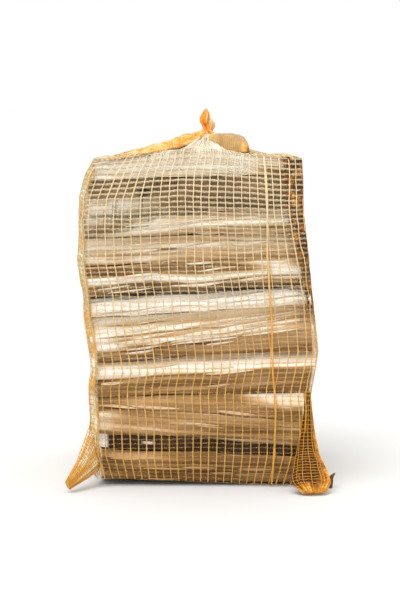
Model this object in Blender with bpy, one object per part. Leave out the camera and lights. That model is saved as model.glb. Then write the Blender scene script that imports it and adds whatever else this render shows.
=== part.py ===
"""Birch firewood bundle: split logs stacked in a knitted net sack that is tied at the top.

X runs along the logs, -Y is the front, +Z is up. The origin is on the floor, in the middle of the bundle.
"""

import math
import random

import bmesh
import bpy
from mathutils import Vector

# Stack of logs
STACK_TOP = 0.446
FRONT_Y = -0.1315
REAR_Y = 0.1285
FLOOR_CLEARANCE = 0.0019
EDGE_CHAMFER = 0.055
EDGE_SETBACK = 0.018
BARK_RADIUS = 0.068
BARK_STEP = math.radians(15)
HIDDEN_GIRTHS = (0.62, 0.95)
BACKWARD_BARK = (-0.5, 0.5)
WEDGE_HALF_ANGLES = (38, 50)
LOG_GAP = 0.0007
NET_MARGIN = 0.0045
SAW_SLANT = 0.07
SMALLEST_GIRTH = 0.95
SEED = 7

# Front logs from the floor up: height, setback, ridge height as a share, slant of the face above
# and of the face below the ridge in degrees, and where the bark points in degrees above the front
FRONT_LOGS = (
    (0.046, 0.000, 0.45, 22, 24, None),
    (0.021, 0.012, None, 0, 0, 0),
    (0.061, 0.001, 0.78, 34, 7, None),
    (0.054, 0.000, 0.60, 46, 13, None),
    (0.060, 0.002, 0.48, 20, 10, None),
    (0.026, 0.000, 0.35, 30, 18, None),
    (0.042, 0.002, None, 0, 0, -48),
    (0.036, 0.004, 0.75, 26, 6, None),
    (0.030, 0.000, 0.55, 42, 14, None),
    (0.048, 0.002, None, 0, 0, 12),
    (0.022, 0.003, 0.45, 50, 6, None),
)

# The three rows behind: depth, then each log's height from the floor up
HIDDEN_ROWS = (
    ("middle", -0.031, (0.066, 0.062, 0.058, 0.066, 0.060, 0.068, 0.064)),
    ("inner", 0.035, (0.052, 0.060, 0.066, 0.056, 0.062, 0.054, 0.060, 0.034)),
    ("rear", 0.098, (0.058, 0.052, 0.048, 0.062, 0.054, 0.060, 0.050, 0.060)),
)

# How far each height leans: rise along X for each metre
LEAN = (
    (0.000, 0.000),
    (0.020, -0.042),
    (0.060, -0.045),
    (0.127, 0.025),
    (0.183, 0.035),
    (0.240, 0.070),
    (0.275, 0.050),
    (0.320, 0.030),
    (0.375, 0.010),
    (0.450, 0.014),
)

# Where the net stands at the left and at the right, by height
LEFT_OUTLINE = (
    (0.000, -0.141),
    (0.046, -0.152),
    (0.094, -0.148),
    (0.140, -0.149),
    (0.162, -0.142),
    (0.188, -0.148),
    (0.236, -0.155),
    (0.266, -0.154),
    (0.290, -0.160),
    (0.314, -0.163),
    (0.335, -0.161),
    (0.398, -0.160),
    (0.452, -0.139),
)
RIGHT_OUTLINE = (
    (0.000, 0.146),
    (0.046, 0.159),
    (0.094, 0.157),
    (0.127, 0.154),
    (0.188, 0.164),
    (0.236, 0.159),
    (0.286, 0.153),
    (0.318, 0.150),
    (0.375, 0.142),
    (0.452, 0.139),
)

# Net sack
NET_ROWS = (0.000, 0.046, 0.094, 0.140, 0.188, 0.236, 0.284, 0.332, 0.376, 0.416, 0.452)
NET_FRONT_Y = -0.1345
NET_REAR_Y = 0.1315
NET_FOOT_INSET = 0.013
NET_SHOULDER_INSET = 0.010
FRONT_CELLS = 7
SIDE_CELLS = 6
STRAND = 0.0020
NECK = Vector((0.012, -0.014, 0.484))
NECK_RADIUS = 0.0155
TENT_SHARES = (0.34, 0.66)
TENT_SAG = 0.006
FLAP_LIFT = (0.000, 0.012)
NET_FOOT = 0.0035
FOLD_GAP = 0.0019

# Ears at the bottom corners: where each leaves the sack, and its tip
LEFT_EAR_BASE = [Vector(place) for place in (
    (-0.1555, -0.1375, 0.054),
    (-0.1400, -0.1370, 0.030),
    (-0.1250, -0.1290, 0.011),
    (-0.1430, -0.1290, 0.006),
    (-0.1570, -0.1080, 0.010),
    (-0.1590, -0.1150, 0.033),
)]
LEFT_EAR_TIP = Vector((-0.1745, -0.1570, 0.0085))
RIGHT_EAR_BASE = [Vector(place) for place in (
    (0.1625, -0.1385, 0.060),
    (0.1640, -0.1100, 0.036),
    (0.1600, -0.1030, 0.010),
    (0.1480, -0.1290, 0.006),
    (0.1220, -0.1305, 0.010),
    (0.1450, -0.1380, 0.034),
)]
RIGHT_EAR_TIP = Vector((0.1650, -0.1640, 0.0070))
EAR_RINGS = ((0.5, 0.66), (1.0, 0.30))

# Knot in the neck of the sack: height, radius and place along X of each turn
KNOT_TURNS = (
    (0.476, 0.0095, 0.0125),
    (0.484, 0.0105, 0.0125),
    (0.489, 0.0080, 0.0110),
    (0.494, 0.0064, 0.0098),
    (0.499, 0.0085, 0.0112),
    (0.505, 0.0102, 0.0135),
    (0.511, 0.0090, 0.0150),
    (0.516, 0.0062, 0.0135),
    (0.520, 0.0026, 0.0118),
)
KNOT_SIDES = 16
KNOT_FOLDS = 4
KNOT_FOLD_DEPTH = 0.16
KNOT_TWIST = 110.0
LOBE_CENTRE = Vector((0.0225, -0.017, 0.497))
LOBE_SIZE = Vector((0.0060, 0.0065, 0.0105))

# Loose flake of bark by the right-hand corner
FLAKE_CENTRE = Vector((0.1815, -0.128, 0.0))
FLAKE_HEIGHT = 0.023
FLAKE_WIDTH = 0.016
FLAKE_THICKNESS = 0.0018
FLAKE_CURL = math.radians(95)
FLAKE_LEAN = 0.22


def clear_scene():
    for thing in list(bpy.data.objects):
        bpy.data.objects.remove(thing, do_unlink=True)


def material(name, colour, roughness):
    made = bpy.data.materials.new(name)
    made.use_nodes = True
    shader = made.node_tree.nodes["Principled BSDF"]
    shader.inputs["Base Color"].default_value = (*colour, 1.0)
    shader.inputs["Roughness"].default_value = roughness
    shader.inputs["Metallic"].default_value = 0.0
    return made


def object_from(name, mesh_builder, look, smooth_angle=None):
    """An object whose mesh is what a bmesh holds, with its faces outward."""
    bmesh.ops.recalc_face_normals(mesh_builder, faces=mesh_builder.faces)
    mesh = bpy.data.meshes.new(name)
    mesh_builder.to_mesh(mesh)
    mesh_builder.free()
    mesh.materials.append(look)
    if smooth_angle:
        mesh.shade_smooth()
        mesh.set_sharp_from_angle(angle=smooth_angle)
    made = bpy.data.objects.new(name, mesh)
    bpy.context.scene.collection.objects.link(made)
    return made


def table_value(table, at):
    """A straight-line reading of a table of pairs."""
    for (low, a), (high, b) in zip(table, table[1:]):
        if at <= high:
            return a + (b - a) * max(0.0, (at - low) / (high - low))
    return table[-1][1]


def clipped(polygon, normal, limit):
    """The part of a convex polygon, as depth and height pairs, on the near side of a line."""
    kept = []
    for here, after in zip(polygon, polygon[1:] + polygon[:1]):
        a = here[0] * normal[0] + here[1] * normal[1] - limit
        b = after[0] * normal[0] + after[1] * normal[1] - limit
        if a <= 0:
            kept.append(here)
        if (a < 0 < b) or (b < 0 < a):
            share = a / (a - b)
            kept.append(tuple(p + (q - p) * share for p, q in zip(here, after)))
    return kept


def stack_outline():
    """The section of the whole stack: a box with its long edges taken off."""
    outline = [
        (FRONT_Y, FLOOR_CLEARANCE),
        (REAR_Y, FLOOR_CLEARANCE),
        (REAR_Y, STACK_TOP),
        (FRONT_Y, STACK_TOP),
    ]
    slope = math.atan2(EDGE_SETBACK, EDGE_CHAMFER)
    for side, edge in ((-1, FRONT_Y), (1, REAR_Y)):
        for up, level in ((-1, 0.0), (1, STACK_TOP)):
            normal = (side * math.cos(slope), up * math.sin(slope))
            point = (edge - side * EDGE_SETBACK, level)
            outline = clipped(outline, normal, point[0] * normal[0] + point[1] * normal[1])
    return outline


def log_circles(chance):
    """A circle for each log: name, depth, height, radius and the front log's own shape."""
    circles = []
    level = FLOOR_CLEARANCE
    for number, shape in enumerate(FRONT_LOGS, 1):
        half = shape[0] / 2
        circles.append((f"log_front_{number:02d}", -0.099, level + half, half, shape))
        level += shape[0]
    for row, depth, heights in HIDDEN_ROWS:
        level = FLOOR_CLEARANCE
        spare = STACK_TOP - FLOOR_CLEARANCE - sum(heights)
        for number, height in enumerate(heights, 1):
            height += spare / len(heights)
            half = height / 2
            place = depth + chance.uniform(-0.007, 0.007)
            circles.append((f"log_{row}_{number:02d}", place, level + half, half, None))
            level += height
    return circles


def log_cell(circle, circles):
    """The space that a log has between its neighbours."""
    cell = stack_outline()
    _, y, z, radius, _ = circle
    for _, other_y, other_z, other_radius, _ in circles:
        apart = math.hypot(other_y - y, other_z - z)
        if apart == 0:
            continue
        normal = ((other_y - y) / apart, (other_z - z) / apart)
        reach = (apart**2 + radius**2 - other_radius**2) / (2 * apart)
        limit = y * normal[0] + z * normal[1] + reach - LOG_GAP
        cell = clipped(cell, normal, limit)
    return cell


def with_bark(section, direction, radius):
    """The section rounded off to an arc of the trunk's own radius on the side of the bark."""
    towards = (math.cos(direction), math.sin(direction))
    reach = max(y * towards[0] + z * towards[1] for y, z in section)
    middle = [sum(values) / len(section) for values in zip(*section)]
    ahead = reach - middle[0] * towards[0] - middle[1] * towards[1]
    pith = [m + t * (ahead - radius) for m, t in zip(middle, towards)]
    for step in range(-5, 6):
        angle = direction + step * BARK_STEP
        normal = (math.cos(angle), math.sin(angle))
        section = clipped(section, normal, pith[0] * normal[0] + pith[1] * normal[1] + radius)
    return section


def with_wedge(section, direction, half_angle):
    """The section split to a wedge: two faces that meet at the pith, opposite the bark."""
    towards = (math.cos(direction), math.sin(direction))
    pith = min(section, key=lambda point: point[0] * towards[0] + point[1] * towards[1])
    for side in (-1, 1):
        angle = direction + side * (half_angle + math.pi / 2)
        normal = (math.cos(angle), math.sin(angle))
        section = clipped(section, normal, pith[0] * normal[0] + pith[1] * normal[1])
    return section


def with_ridge(section, shape):
    """A front log's two split faces, which meet in a ridge that points at the front."""
    _, setback, share, above, below, _ = shape
    bottom = min(z for _, z in section)
    top = max(z for _, z in section)
    ridge = (FRONT_Y + setback, bottom + share * (top - bottom))
    for slant in (math.radians(above), -math.radians(below)):
        normal = (-math.cos(slant), math.sin(slant))
        section = clipped(section, normal, ridge[0] * normal[0] + ridge[1] * normal[1])
    return section


def tidy(section):
    """The section without points that stand closer than a millimetre."""
    kept = []
    for point in section:
        if not kept or math.dist(point, kept[-1]) > 0.001:
            kept.append(point)
    if math.dist(kept[0], kept[-1]) <= 0.001:
        kept.pop()
    return kept


def log_section(circle, circles, chance):
    shape = circle[4]
    section = log_cell(circle, circles)
    if shape is None:
        direction = chance.uniform(0, math.tau)
        section = with_wedge(section, direction, math.radians(chance.uniform(*WEDGE_HALF_ANGLES)))
        return tidy(with_bark(section, direction, BARK_RADIUS * chance.uniform(*HIDDEN_GIRTHS)))
    if shape[5] is None:
        section = with_bark(section, chance.uniform(*BACKWARD_BARK), BARK_RADIUS * HIDDEN_GIRTHS[0])
        return tidy(with_ridge(section, shape))
    section = clipped(section, (-1, 0), -(FRONT_Y + shape[1]))
    return tidy(with_bark(section, math.pi - math.radians(shape[5]), BARK_RADIUS))


def leaned(x, y, z):
    return Vector((x, y, z + x * table_value(LEAN, z)))


def net_side(outline, height):
    """Where the net stands at a height, straight between its own rows."""
    rows = [(row, table_value(outline, row)) for row in NET_ROWS]
    return table_value(rows, height)


def log_ends(section, chance):
    """How far the log reaches to the left and to the right inside the net."""
    low = min(z for _, z in section) - 0.012
    high = max(z for _, z in section) + 0.012
    levels = [low + (high - low) * step / 8 for step in range(9)]
    left = max(net_side(LEFT_OUTLINE, level) for level in levels) + NET_MARGIN
    right = min(net_side(RIGHT_OUTLINE, level) for level in levels) - NET_MARGIN
    return left, right


def make_log(circle, circles, look, chance):
    section = log_section(circle, circles, chance)
    left, right = log_ends(section, chance)
    if circle[4] is None:
        left += chance.uniform(0, 0.012)
        right -= chance.uniform(0, 0.012)
    middle = [sum(values) / len(section) for values in zip(*section)]
    stations = (left, left + (right - left) * chance.uniform(0.35, 0.65), right)
    girths = [chance.uniform(SMALLEST_GIRTH, 1.0) for _ in stations]
    slants = [[chance.uniform(-SAW_SLANT, SAW_SLANT) for _ in range(2)] for _ in stations]
    slants[1] = (0.0, 0.0)
    inward = (1, 0, -1)
    mesh = bmesh.new()
    rings = []
    for x, girth, slant, way in zip(stations, girths, slants, inward):
        spots = [[m + (v - m) * girth for m, v in zip(middle, point)] for point in section]
        cuts = [slant[0] * (y - middle[0]) + slant[1] * (z - middle[1]) for y, z in spots]
        set_in = max(-way * cut for cut in cuts)
        ring = [mesh.verts.new(leaned(x + cut + way * set_in, y, z)) for cut, (y, z) in zip(cuts, spots)]
        rings.append(ring)
    mesh.faces.new(rings[0])
    mesh.faces.new(list(reversed(rings[-1])))
    for near, far in zip(rings, rings[1:]):
        for index in range(len(near)):
            after = (index + 1) % len(near)
            mesh.faces.new((near[index], near[after], far[after], far[index]))
    return object_from(circle[0], mesh, look)


def net_corners(height):
    """The four corners of the net at one height, anticlockwise from the front left."""
    left = table_value(LEFT_OUTLINE, height)
    right = table_value(RIGHT_OUTLINE, height)
    inset = 0.0
    if height < NET_ROWS[1]:
        inset = NET_FOOT_INSET * (1 - height / NET_ROWS[1])
    if height > NET_ROWS[-2]:
        inset = NET_SHOULDER_INSET * (height - NET_ROWS[-2]) / (NET_ROWS[-1] - NET_ROWS[-2])
    front = NET_FRONT_Y + inset
    rear = NET_REAR_Y - inset
    return [Vector(place) for place in (
        (left, front, height),
        (right, front, height),
        (right, rear, height),
        (left, rear, height),
    )]


def along(start, end, count, inset=0.0):
    """Evenly spaced points from one place to another, both ends drawn in."""
    way = (end - start).normalized() * inset
    return [(start + way).lerp(end - way, step / count) for step in range(count + 1)]


def netting(name, grid, closed, look):
    """Strands along every edge of a grid of cells, pressed flat where they lie on the floor."""
    mesh = bmesh.new()
    rows = [[mesh.verts.new(point) for point in row] for row in grid]
    across = len(rows[0])
    for low, high in zip(rows, rows[1:]):
        for index in range(across if closed else across - 1):
            after = (index + 1) % across
            mesh.faces.new((low[index], low[after], high[after], high[index]))
    if closed:
        mesh.faces.new(rows[-1])
    cells = object_from(name + "_cells", mesh, look)
    strands = cells.modifiers.new("Strands", "WIREFRAME")
    strands.thickness = STRAND
    strands.use_even_offset = False
    strands.use_boundary = True
    strands.use_replace = True
    seen = cells.evaluated_get(bpy.context.evaluated_depsgraph_get())
    mesh = bmesh.new()
    mesh.from_mesh(seen.to_mesh())
    seen.to_mesh_clear()
    bpy.data.objects.remove(cells, do_unlink=True)
    for vertex in mesh.verts:
        vertex.co.z = max(vertex.co.z, 0.0)
    return object_from(name, mesh, look)


def net_wall(name, corner, count, look):
    """One upright side of the sack, from just above the floor to the shoulder."""
    heights = (NET_FOOT, *NET_ROWS[1:])
    grid = []
    for height in heights:
        corners = net_corners(height)
        grid.append(along(corners[corner], corners[(corner + 1) % 4], count, FOLD_GAP))
    return netting(name, grid, False, look)


def net_floor(look):
    """The underside of the sack."""
    front_left, front_right, rear_right, rear_left = net_corners(0.0)
    lefts = along(front_left, rear_left, SIDE_CELLS, FOLD_GAP)
    rights = along(front_right, rear_right, SIDE_CELLS, FOLD_GAP)
    grid = [along(right, left, FRONT_CELLS, FOLD_GAP) for left, right in zip(lefts, rights)]
    return netting("net_floor", grid, False, look)


def tent_ring(edge, share, lift):
    """The net between the shoulder and the neck, slack where it folds at the right."""
    ring = []
    for point in edge:
        outward = Vector((point.x - NECK.x, point.y - NECK.y, 0)).normalized()
        inner = NECK + outward * NECK_RADIUS
        place = point.lerp(inner, share)
        place.z -= TENT_SAG * math.sin(math.pi * share)
        place.z += lift * max(0.0, outward.x) ** 2
        ring.append(place)
    return ring


def net_tent(look):
    """The top of the sack, which rises from the shoulder to the neck."""
    corners = net_corners(NET_ROWS[-1])
    edge = []
    counts = (FRONT_CELLS, SIDE_CELLS, FRONT_CELLS, SIDE_CELLS)
    middle = sum(corners, Vector()) / 4
    for start, end, count in zip(corners, corners[1:] + corners[:1], counts):
        for point in along(start, end, count)[:-1]:
            drawn_in = (middle - point).normalized() * FOLD_GAP
            edge.append(point + drawn_in + Vector((0, 0, FOLD_GAP * 2)))
    rings = [edge]
    for share, lift in zip(TENT_SHARES, FLAP_LIFT):
        rings.append(tent_ring(edge, share, lift))
    rings.append(tent_ring(edge, 1.0, 0.0))
    return netting("net_tent", rings, True, look)


def net_ear(name, base, tip, look):
    """A bottom corner of the sack that sticks out, from the stack to its blunt tip."""
    centre = sum(base, Vector()) / len(base)
    rings = [base]
    for share, size in EAR_RINGS:
        heart = centre.lerp(tip, share)
        ring = [heart + (point - centre) * size for point in base]
        for point in ring:
            point.z = max(point.z, 0.0)
        rings.append(ring)
    return netting(name, rings, True, look)


def make_net(look):
    """The whole sack. It is one piece of knitting, parted here at its folds."""
    return [
        net_wall("net_front", 0, FRONT_CELLS, look),
        net_wall("net_side_right", 1, SIDE_CELLS, look),
        net_wall("net_rear", 2, FRONT_CELLS, look),
        net_wall("net_side_left", 3, SIDE_CELLS, look),
        net_floor(look),
        net_tent(look),
        net_ear("net_ear_left", LEFT_EAR_BASE, LEFT_EAR_TIP, look),
        net_ear("net_ear_right", RIGHT_EAR_BASE, RIGHT_EAR_TIP, look),
    ]


def make_knot(look):
    """The gathered neck of the net, twisted and knotted, with one lobe that hangs to the right."""
    mesh = bmesh.new()
    rings = []
    for height, radius, across in KNOT_TURNS:
        ring = []
        for side in range(KNOT_SIDES):
            angle = math.tau * side / KNOT_SIDES
            fold = math.cos(KNOT_FOLDS * angle + KNOT_TWIST * (height - KNOT_TURNS[0][0]))
            reach = radius * (1 + KNOT_FOLD_DEPTH * fold)
            place = (across + reach * math.cos(angle), NECK.y + reach * math.sin(angle), height)
            ring.append(mesh.verts.new(place))
        rings.append(ring)
    mesh.faces.new(rings[0])
    mesh.faces.new(list(reversed(rings[-1])))
    for near, far in zip(rings, rings[1:]):
        for index in range(KNOT_SIDES):
            after = (index + 1) % KNOT_SIDES
            mesh.faces.new((near[index], near[after], far[after], far[index]))
    knot = object_from("neck_knot", mesh, look, math.radians(50))
    lump = bmesh.new()
    bmesh.ops.create_icosphere(lump, subdivisions=2, radius=1.0)
    bmesh.ops.scale(lump, vec=LOBE_SIZE, verts=lump.verts)
    bmesh.ops.translate(lump, vec=LOBE_CENTRE, verts=lump.verts)
    lobe = object_from("lobe_guide", lump, look)
    lobe.hide_render = True
    lobe.display_type = "WIRE"
    joined = knot.modifiers.new("Lobe", "BOOLEAN")
    joined.operation = "UNION"
    joined.solver = "EXACT"
    joined.object = lobe
    return knot, lobe


def make_flake(look):
    """A curled flake of bark that stands on its edge."""
    mesh = bmesh.new()
    turns = 6
    radius = FLAKE_WIDTH / FLAKE_CURL
    rows = []
    for level, narrowing in ((0.0, 1.0), (0.55, 0.9), (1.0, 0.45)):
        for reach in (radius, radius - FLAKE_THICKNESS):
            row = []
            for step in range(turns + 1):
                angle = FLAKE_CURL * (step / turns - 0.5) * narrowing
                x = FLAKE_CENTRE.x + reach * math.cos(angle) - radius + FLAKE_LEAN * FLAKE_HEIGHT * level**2
                y = FLAKE_CENTRE.y + reach * math.sin(angle)
                row.append(mesh.verts.new((x, y, FLAKE_HEIGHT * level)))
            rows.append(row)
    loops = [outer + list(reversed(inner)) for outer, inner in zip(rows[::2], rows[1::2])]
    for near, far in zip(loops, loops[1:]):
        for index in range(len(near)):
            after = (index + 1) % len(near)
            mesh.faces.new((near[index], near[after], far[after], far[index]))
    for loop in (loops[0], loops[-1]):
        for step in range(turns):
            mesh.faces.new((loop[step], loop[step + 1], loop[-step - 2], loop[-step - 1]))
    return object_from("bark_flake", mesh, look)


def centre_on_floor(things):
    """Everything moved together so that the origin is under the middle of the bundle."""
    bpy.context.view_layer.update()
    points = [thing.matrix_world @ Vector(corner) for thing in things for corner in thing.bound_box]
    low = [min(point[axis] for point in points) for axis in range(3)]
    high = [max(point[axis] for point in points) for axis in range(3)]
    shift = Vector((-(low[0] + high[0]) / 2, -(low[1] + high[1]) / 2, -low[2]))
    for thing in bpy.data.objects:
        thing.location += shift


def main():
    clear_scene()
    wood = material("split_birch", (0.74, 0.58, 0.40), 0.75)
    net_tape = material("net_yellow_orange", (0.85, 0.52, 0.16), 0.55)
    knot_cloth = material("net_deep_orange", (0.87, 0.33, 0.06), 0.5)
    bark = material("birch_bark", (0.30, 0.26, 0.22), 0.85)
    chance = random.Random(SEED)
    circles = log_circles(chance)
    things = [make_log(circle, circles, wood, chance) for circle in circles]
    things.extend(make_net(net_tape))
    knot, _ = make_knot(knot_cloth)
    things.append(knot)
    things.append(make_flake(bark))
    centre_on_floor(things)


main()
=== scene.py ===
"""Birch firewood bundle: split logs in a knitted net sack, dressed over the frame's solids.

X runs along the logs, -Y is the front, +Z is up. Lengths are in metres.
"""

import math

import bpy
import numpy as np
from bpy.props import FloatProperty, FloatVectorProperty, IntProperty, PointerProperty
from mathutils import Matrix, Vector
from mathutils.bvhtree import BVHTree


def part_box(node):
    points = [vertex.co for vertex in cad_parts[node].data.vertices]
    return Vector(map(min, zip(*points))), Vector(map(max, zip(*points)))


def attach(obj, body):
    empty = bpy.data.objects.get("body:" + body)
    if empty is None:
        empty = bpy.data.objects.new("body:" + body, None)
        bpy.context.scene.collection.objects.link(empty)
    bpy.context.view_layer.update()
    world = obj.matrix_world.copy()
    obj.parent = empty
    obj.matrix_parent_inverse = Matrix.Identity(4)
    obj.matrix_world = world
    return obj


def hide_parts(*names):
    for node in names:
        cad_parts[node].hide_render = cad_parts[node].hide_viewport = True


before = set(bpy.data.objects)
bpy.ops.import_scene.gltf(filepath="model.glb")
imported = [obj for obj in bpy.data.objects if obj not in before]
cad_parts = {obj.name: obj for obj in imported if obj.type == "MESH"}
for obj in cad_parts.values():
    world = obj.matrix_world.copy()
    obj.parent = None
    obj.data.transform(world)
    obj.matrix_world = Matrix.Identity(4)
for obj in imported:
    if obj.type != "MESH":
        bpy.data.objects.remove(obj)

bl_info = {
    "name": "Birch firewood bundle",
    "version": (1, 0, 0),
    "blender": (4, 5, 0),
    "location": "View3D > Sidebar > Firewood",
    "description": "Dresses a stack of split birch logs and the knitted sack that holds it",
    "category": "Object",
}

LOG_NODES = sorted(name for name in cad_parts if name.startswith("log_"))

# Where the sack's side walls stand at each height: height, place along X
LEFT_WALL = (
    (0.000, -0.144), (0.046, -0.1555), (0.094, -0.1515), (0.140, -0.1525), (0.162, -0.1465),
    (0.188, -0.1515), (0.236, -0.1585), (0.266, -0.1585), (0.290, -0.1635), (0.314, -0.1665),
    (0.335, -0.1645), (0.398, -0.1635), (0.430, -0.155), (0.452, -0.1425),
)
RIGHT_WALL = (
    (0.000, 0.1425), (0.046, 0.1555), (0.094, 0.1535), (0.127, 0.1505), (0.188, 0.1605),
    (0.236, 0.1555), (0.286, 0.1495), (0.318, 0.1465), (0.375, 0.1400), (0.452, 0.1365),
)
WALL_FRONT = -0.1175
WALL_REAR = 0.1505
WALL_CORNER = 0.016
WALL_TOP = 0.4505
NECK = Vector((0.0083, 0.0042, 0.4835))

# Each front log's face as stops from its foot to its top. A stop is the height and the tone at the
# left end, then the height and the tone at the right end (0 is pale and 1 is brown).
# The tones paint light and shade over the wood's own tone: pale bands are painted light on facets
# that tilt up, and tan or brown bands are painted shade on facets that tilt down.
# Then come its cracks: start, height there, end, height there (all shares), and depth
FRONT_FACES = {
    "log_front_01": (((0.00, 1.05, 0.00, 0.91), (0.50, 0.90, 0.50, 0.84), (1.00, 0.78, 1.00, 0.72)),
                     ((0.10, 0.62, 0.60, 0.55, 0.0010), (0.45, 0.35, 0.95, 0.28, 0.0012))),
    "log_front_02": (((0.0, -0.1, 0.0, 0.6), (1.0, -0.2, 1.0, 0.6)), ()),
    "log_front_03": (((0.00, 0.74, 0.00, 0.84), (0.30, 0.48, 0.20, 0.80), (0.60, 0.60, 0.44, 0.70),
                      (0.72, 0.70, 0.52, 0.84), (1.00, 0.64, 1.00, 0.76)),
                     ((0.0, 0.74, 1.0, 0.42, 0.0030), (0.40, 0.30, 0.98, 0.30, 0.0010))),
    "log_front_04": (((0.0, 0.78, 0.0, 0.84), (0.44, 0.70, 0.66, 0.72), (0.48, 0.0, 0.71, 0.02),
                      (0.76, 0.0, 0.98, 0.0), (0.84, 0.42, 1.04, 0.20), (1.0, 0.60, 1.10, 0.30)),
                     ((0.05, 0.26, 0.55, 0.32, 0.0010), (0.0, 0.93, 0.45, 0.99, 0.0024))),
    "log_front_05": (((0.00, 0.84, 0.00, 0.90), (0.16, 0.46, 0.10, 0.74), (0.40, 0.42, 0.38, 0.64),
                      (0.62, 0.16, 0.66, 0.56), (1.00, 0.12, 1.00, 0.36)),
                     ((0.0, 0.10, 0.60, 0.24, 0.0026), (0.02, 0.50, 0.52, 0.62, 0.0020),
                      (0.30, 0.30, 0.98, 0.44, 0.0014), (0.50, 0.58, 0.98, 0.76, 0.0020),
                      (0.05, 0.78, 0.40, 0.84, 0.0018))),
    "log_front_06": (((0.0, 0.10, 0.0, 0.26), (0.4, 0.0, 0.4, 0.14), (1.0, -0.1, 1.0, 0.0)),
                     ((0.05, 0.18, 0.50, 0.34, 0.0018), (0.45, 0.30, 0.98, 0.52, 0.0012))),
    "log_front_07": (((0.40, 0.37, 0.30, 0.46), (0.46, -0.03, 0.38, 0.28), (0.62, 0.02, 0.62, 0.32),
                      (0.67, 0.79, 0.68, 0.72), (0.88, 0.89, 0.90, 0.78), (1.00, 0.53, 1.00, 0.52)),
                     ((0.30, 0.90, 0.62, 0.92, 0.0026), (0.50, 0.36, 1.0, 0.40, 0.0026))),
    "log_front_08": (((0.00, 0.48, 0.00, 0.68), (0.30, 0.34, 0.30, 0.44), (0.60, 0.26, 0.60, 0.40),
                      (1.00, 0.34, 1.00, 0.54)),
                     ((0.28, 0.50, 0.46, 0.54, 0.0032), (0.44, 0.56, 0.66, 0.80, 0.0018),
                      (0.64, 0.80, 0.98, 0.70, 0.0022))),
    "log_front_09": (((0.00, 0.60, 0.00, 0.70), (0.10, 0.20, 0.40, 0.52), (0.30, 0.10, 0.62, 0.26),
                      (1.00, 0.30, 1.00, 0.40)),
                     ((0.62, 0.36, 0.98, 0.30, 0.0016),)),
    "log_front_10": (((0.0, 0.35, 0.0, 0.35), (1.0, 0.5, 1.0, 0.5)), ()),
    "log_front_11": (((0.0, 0.24, 0.0, 0.40), (0.4, -0.06, 0.4, 0.14), (0.84, -0.10, 0.84, 0.10),
                      (1.0, 0.44, 1.0, 0.50)),
                     ((0.60, 0.62, 0.97, 0.50, 0.0014),)),
}
# Patches of another tone on those faces: from and to along, from and to up (shares), and the tone.
# Some patches are painted light, such as the pale top facet at the right end of log_front_03.
FACE_PATCHES = {
    "log_front_01": ((0.66, 0.97, 0.30, 0.40, 0.42), (0.0, 0.30, 0.78, 0.98, 0.55)),
    "log_front_03": ((0.80, 1.2, 0.72, 1.2, 0.16), (-0.1, 0.10, 0.10, 0.62, 0.16)),
    "log_front_04": ((0.005, 0.06, 0.36, 0.50, 1.2),),
    "log_front_05": ((0.08, 0.46, 0.64, 0.74, -0.2), (0.12, 0.60, 0.36, 0.42, -0.2), (0.55, 0.98, 0.62, 0.66, 0.0),
                     (-0.1, 0.10, 0.20, 0.95, -0.1)),
    "log_front_07": ((0.93, 1.1, 0.30, 0.95, -0.1),),
    "log_front_08": ((0.42, 0.60, 0.56, 0.70, -0.1), (-0.1, 0.35, 0.10, 0.30, 0.05)),
    "log_front_11": ((-0.1, 0.07, 0.0, 1.1, -0.2), (0.94, 1.1, 0.0, 0.5, 0.9)),
}
# How far the grain climbs to the right for each metre along a front log
CLIMB = {"log_front_02": -0.03, "log_front_03": -0.07, "log_front_04": 0.05, "log_front_05": 0.09,
         "log_front_06": 0.09, "log_front_07": 0.05, "log_front_08": 0.05, "log_front_09": 0.10,
         "log_front_10": 0.02}
# Lifted slivers on a front log, where there are more or fewer than the plain number
SLIVERS = {"log_front_02": 1, "log_front_05": 22, "log_front_06": 14, "log_front_10": 0}
PLAIN_SLIVERS = 7
# How far a log reaches beyond its solid on the left, and how far the topmost one rises in its middle
REACH_LEFT = {
    "log_front_05": (0.0005, 0.0065), "log_front_06": (0.002, 0.002), "log_front_07": (0.0, 0.004),
    "log_front_10": (0.011, 0.011), "log_front_11": (0.006, 0.006),
}
REACH_RIGHT = {
    "log_front_01": (-0.003, -0.001), "log_front_02": (-0.002, -0.004), "log_front_03": (-0.006, -0.001),
    "log_front_04": (0.003, 0.012), "log_front_05": (0.008, 0.003), "log_front_06": (0.0065, 0.003),
    "log_front_09": (-0.003, -0.008), "log_front_10": (-0.007, -0.008), "log_front_11": (-0.006, -0.006),
}
CROWN = 0.0120
TIGHT = 0.0013
# How dark the bark of the front logs is: 0 is white and papery, 1 is near black
FRONT_BARK = {"log_front_02": 1.0, "log_front_07": 0.56, "log_front_09": 0.34, "log_front_10": 0.56}
# The bark on those faces lies between two lines: pairs of a share of the length and one of the height
BARK_FROM = {"log_front_10": ((0.45, -1.0), (0.6, 0.04), (1.0, 0.14)),
             "log_front_09": ((0.0, 0.02), (0.15, 0.20), (0.30, 0.45), (0.42, 1.3))}
BARK_GAPS = {"log_front_02": ((-0.1, 0.065, -1.0, 2.0), (0.235, 0.285, 0.44, 0.60)),
             "log_front_10": ((0.02, 0.10, 0.10, 0.34),)}
BARK_UP_TO = {"log_front_02": ((0.0, 2.0), (0.25, 1.15), (0.6, 0.92), (1.0, 0.62)),
              "log_front_07": ((0.0, 0.42), (0.4, 0.40), (0.6, 0.30), (1.0, 0.26))}


def rgb(red, green, blue):
    """Screen values, 0 to 255, as the linear colour that a shader takes."""
    return tuple(
        v / 255 / 12.92 if v <= 10 else ((v / 255 + 0.055) / 1.055) ** 2.4
        for v in (red, green, blue)
    )


def reading(table, at):
    """A straight-line reading of a table of pairs, for a number or an array."""
    return np.interp(at, [row[0] for row in table], [row[1] for row in table])


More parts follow.
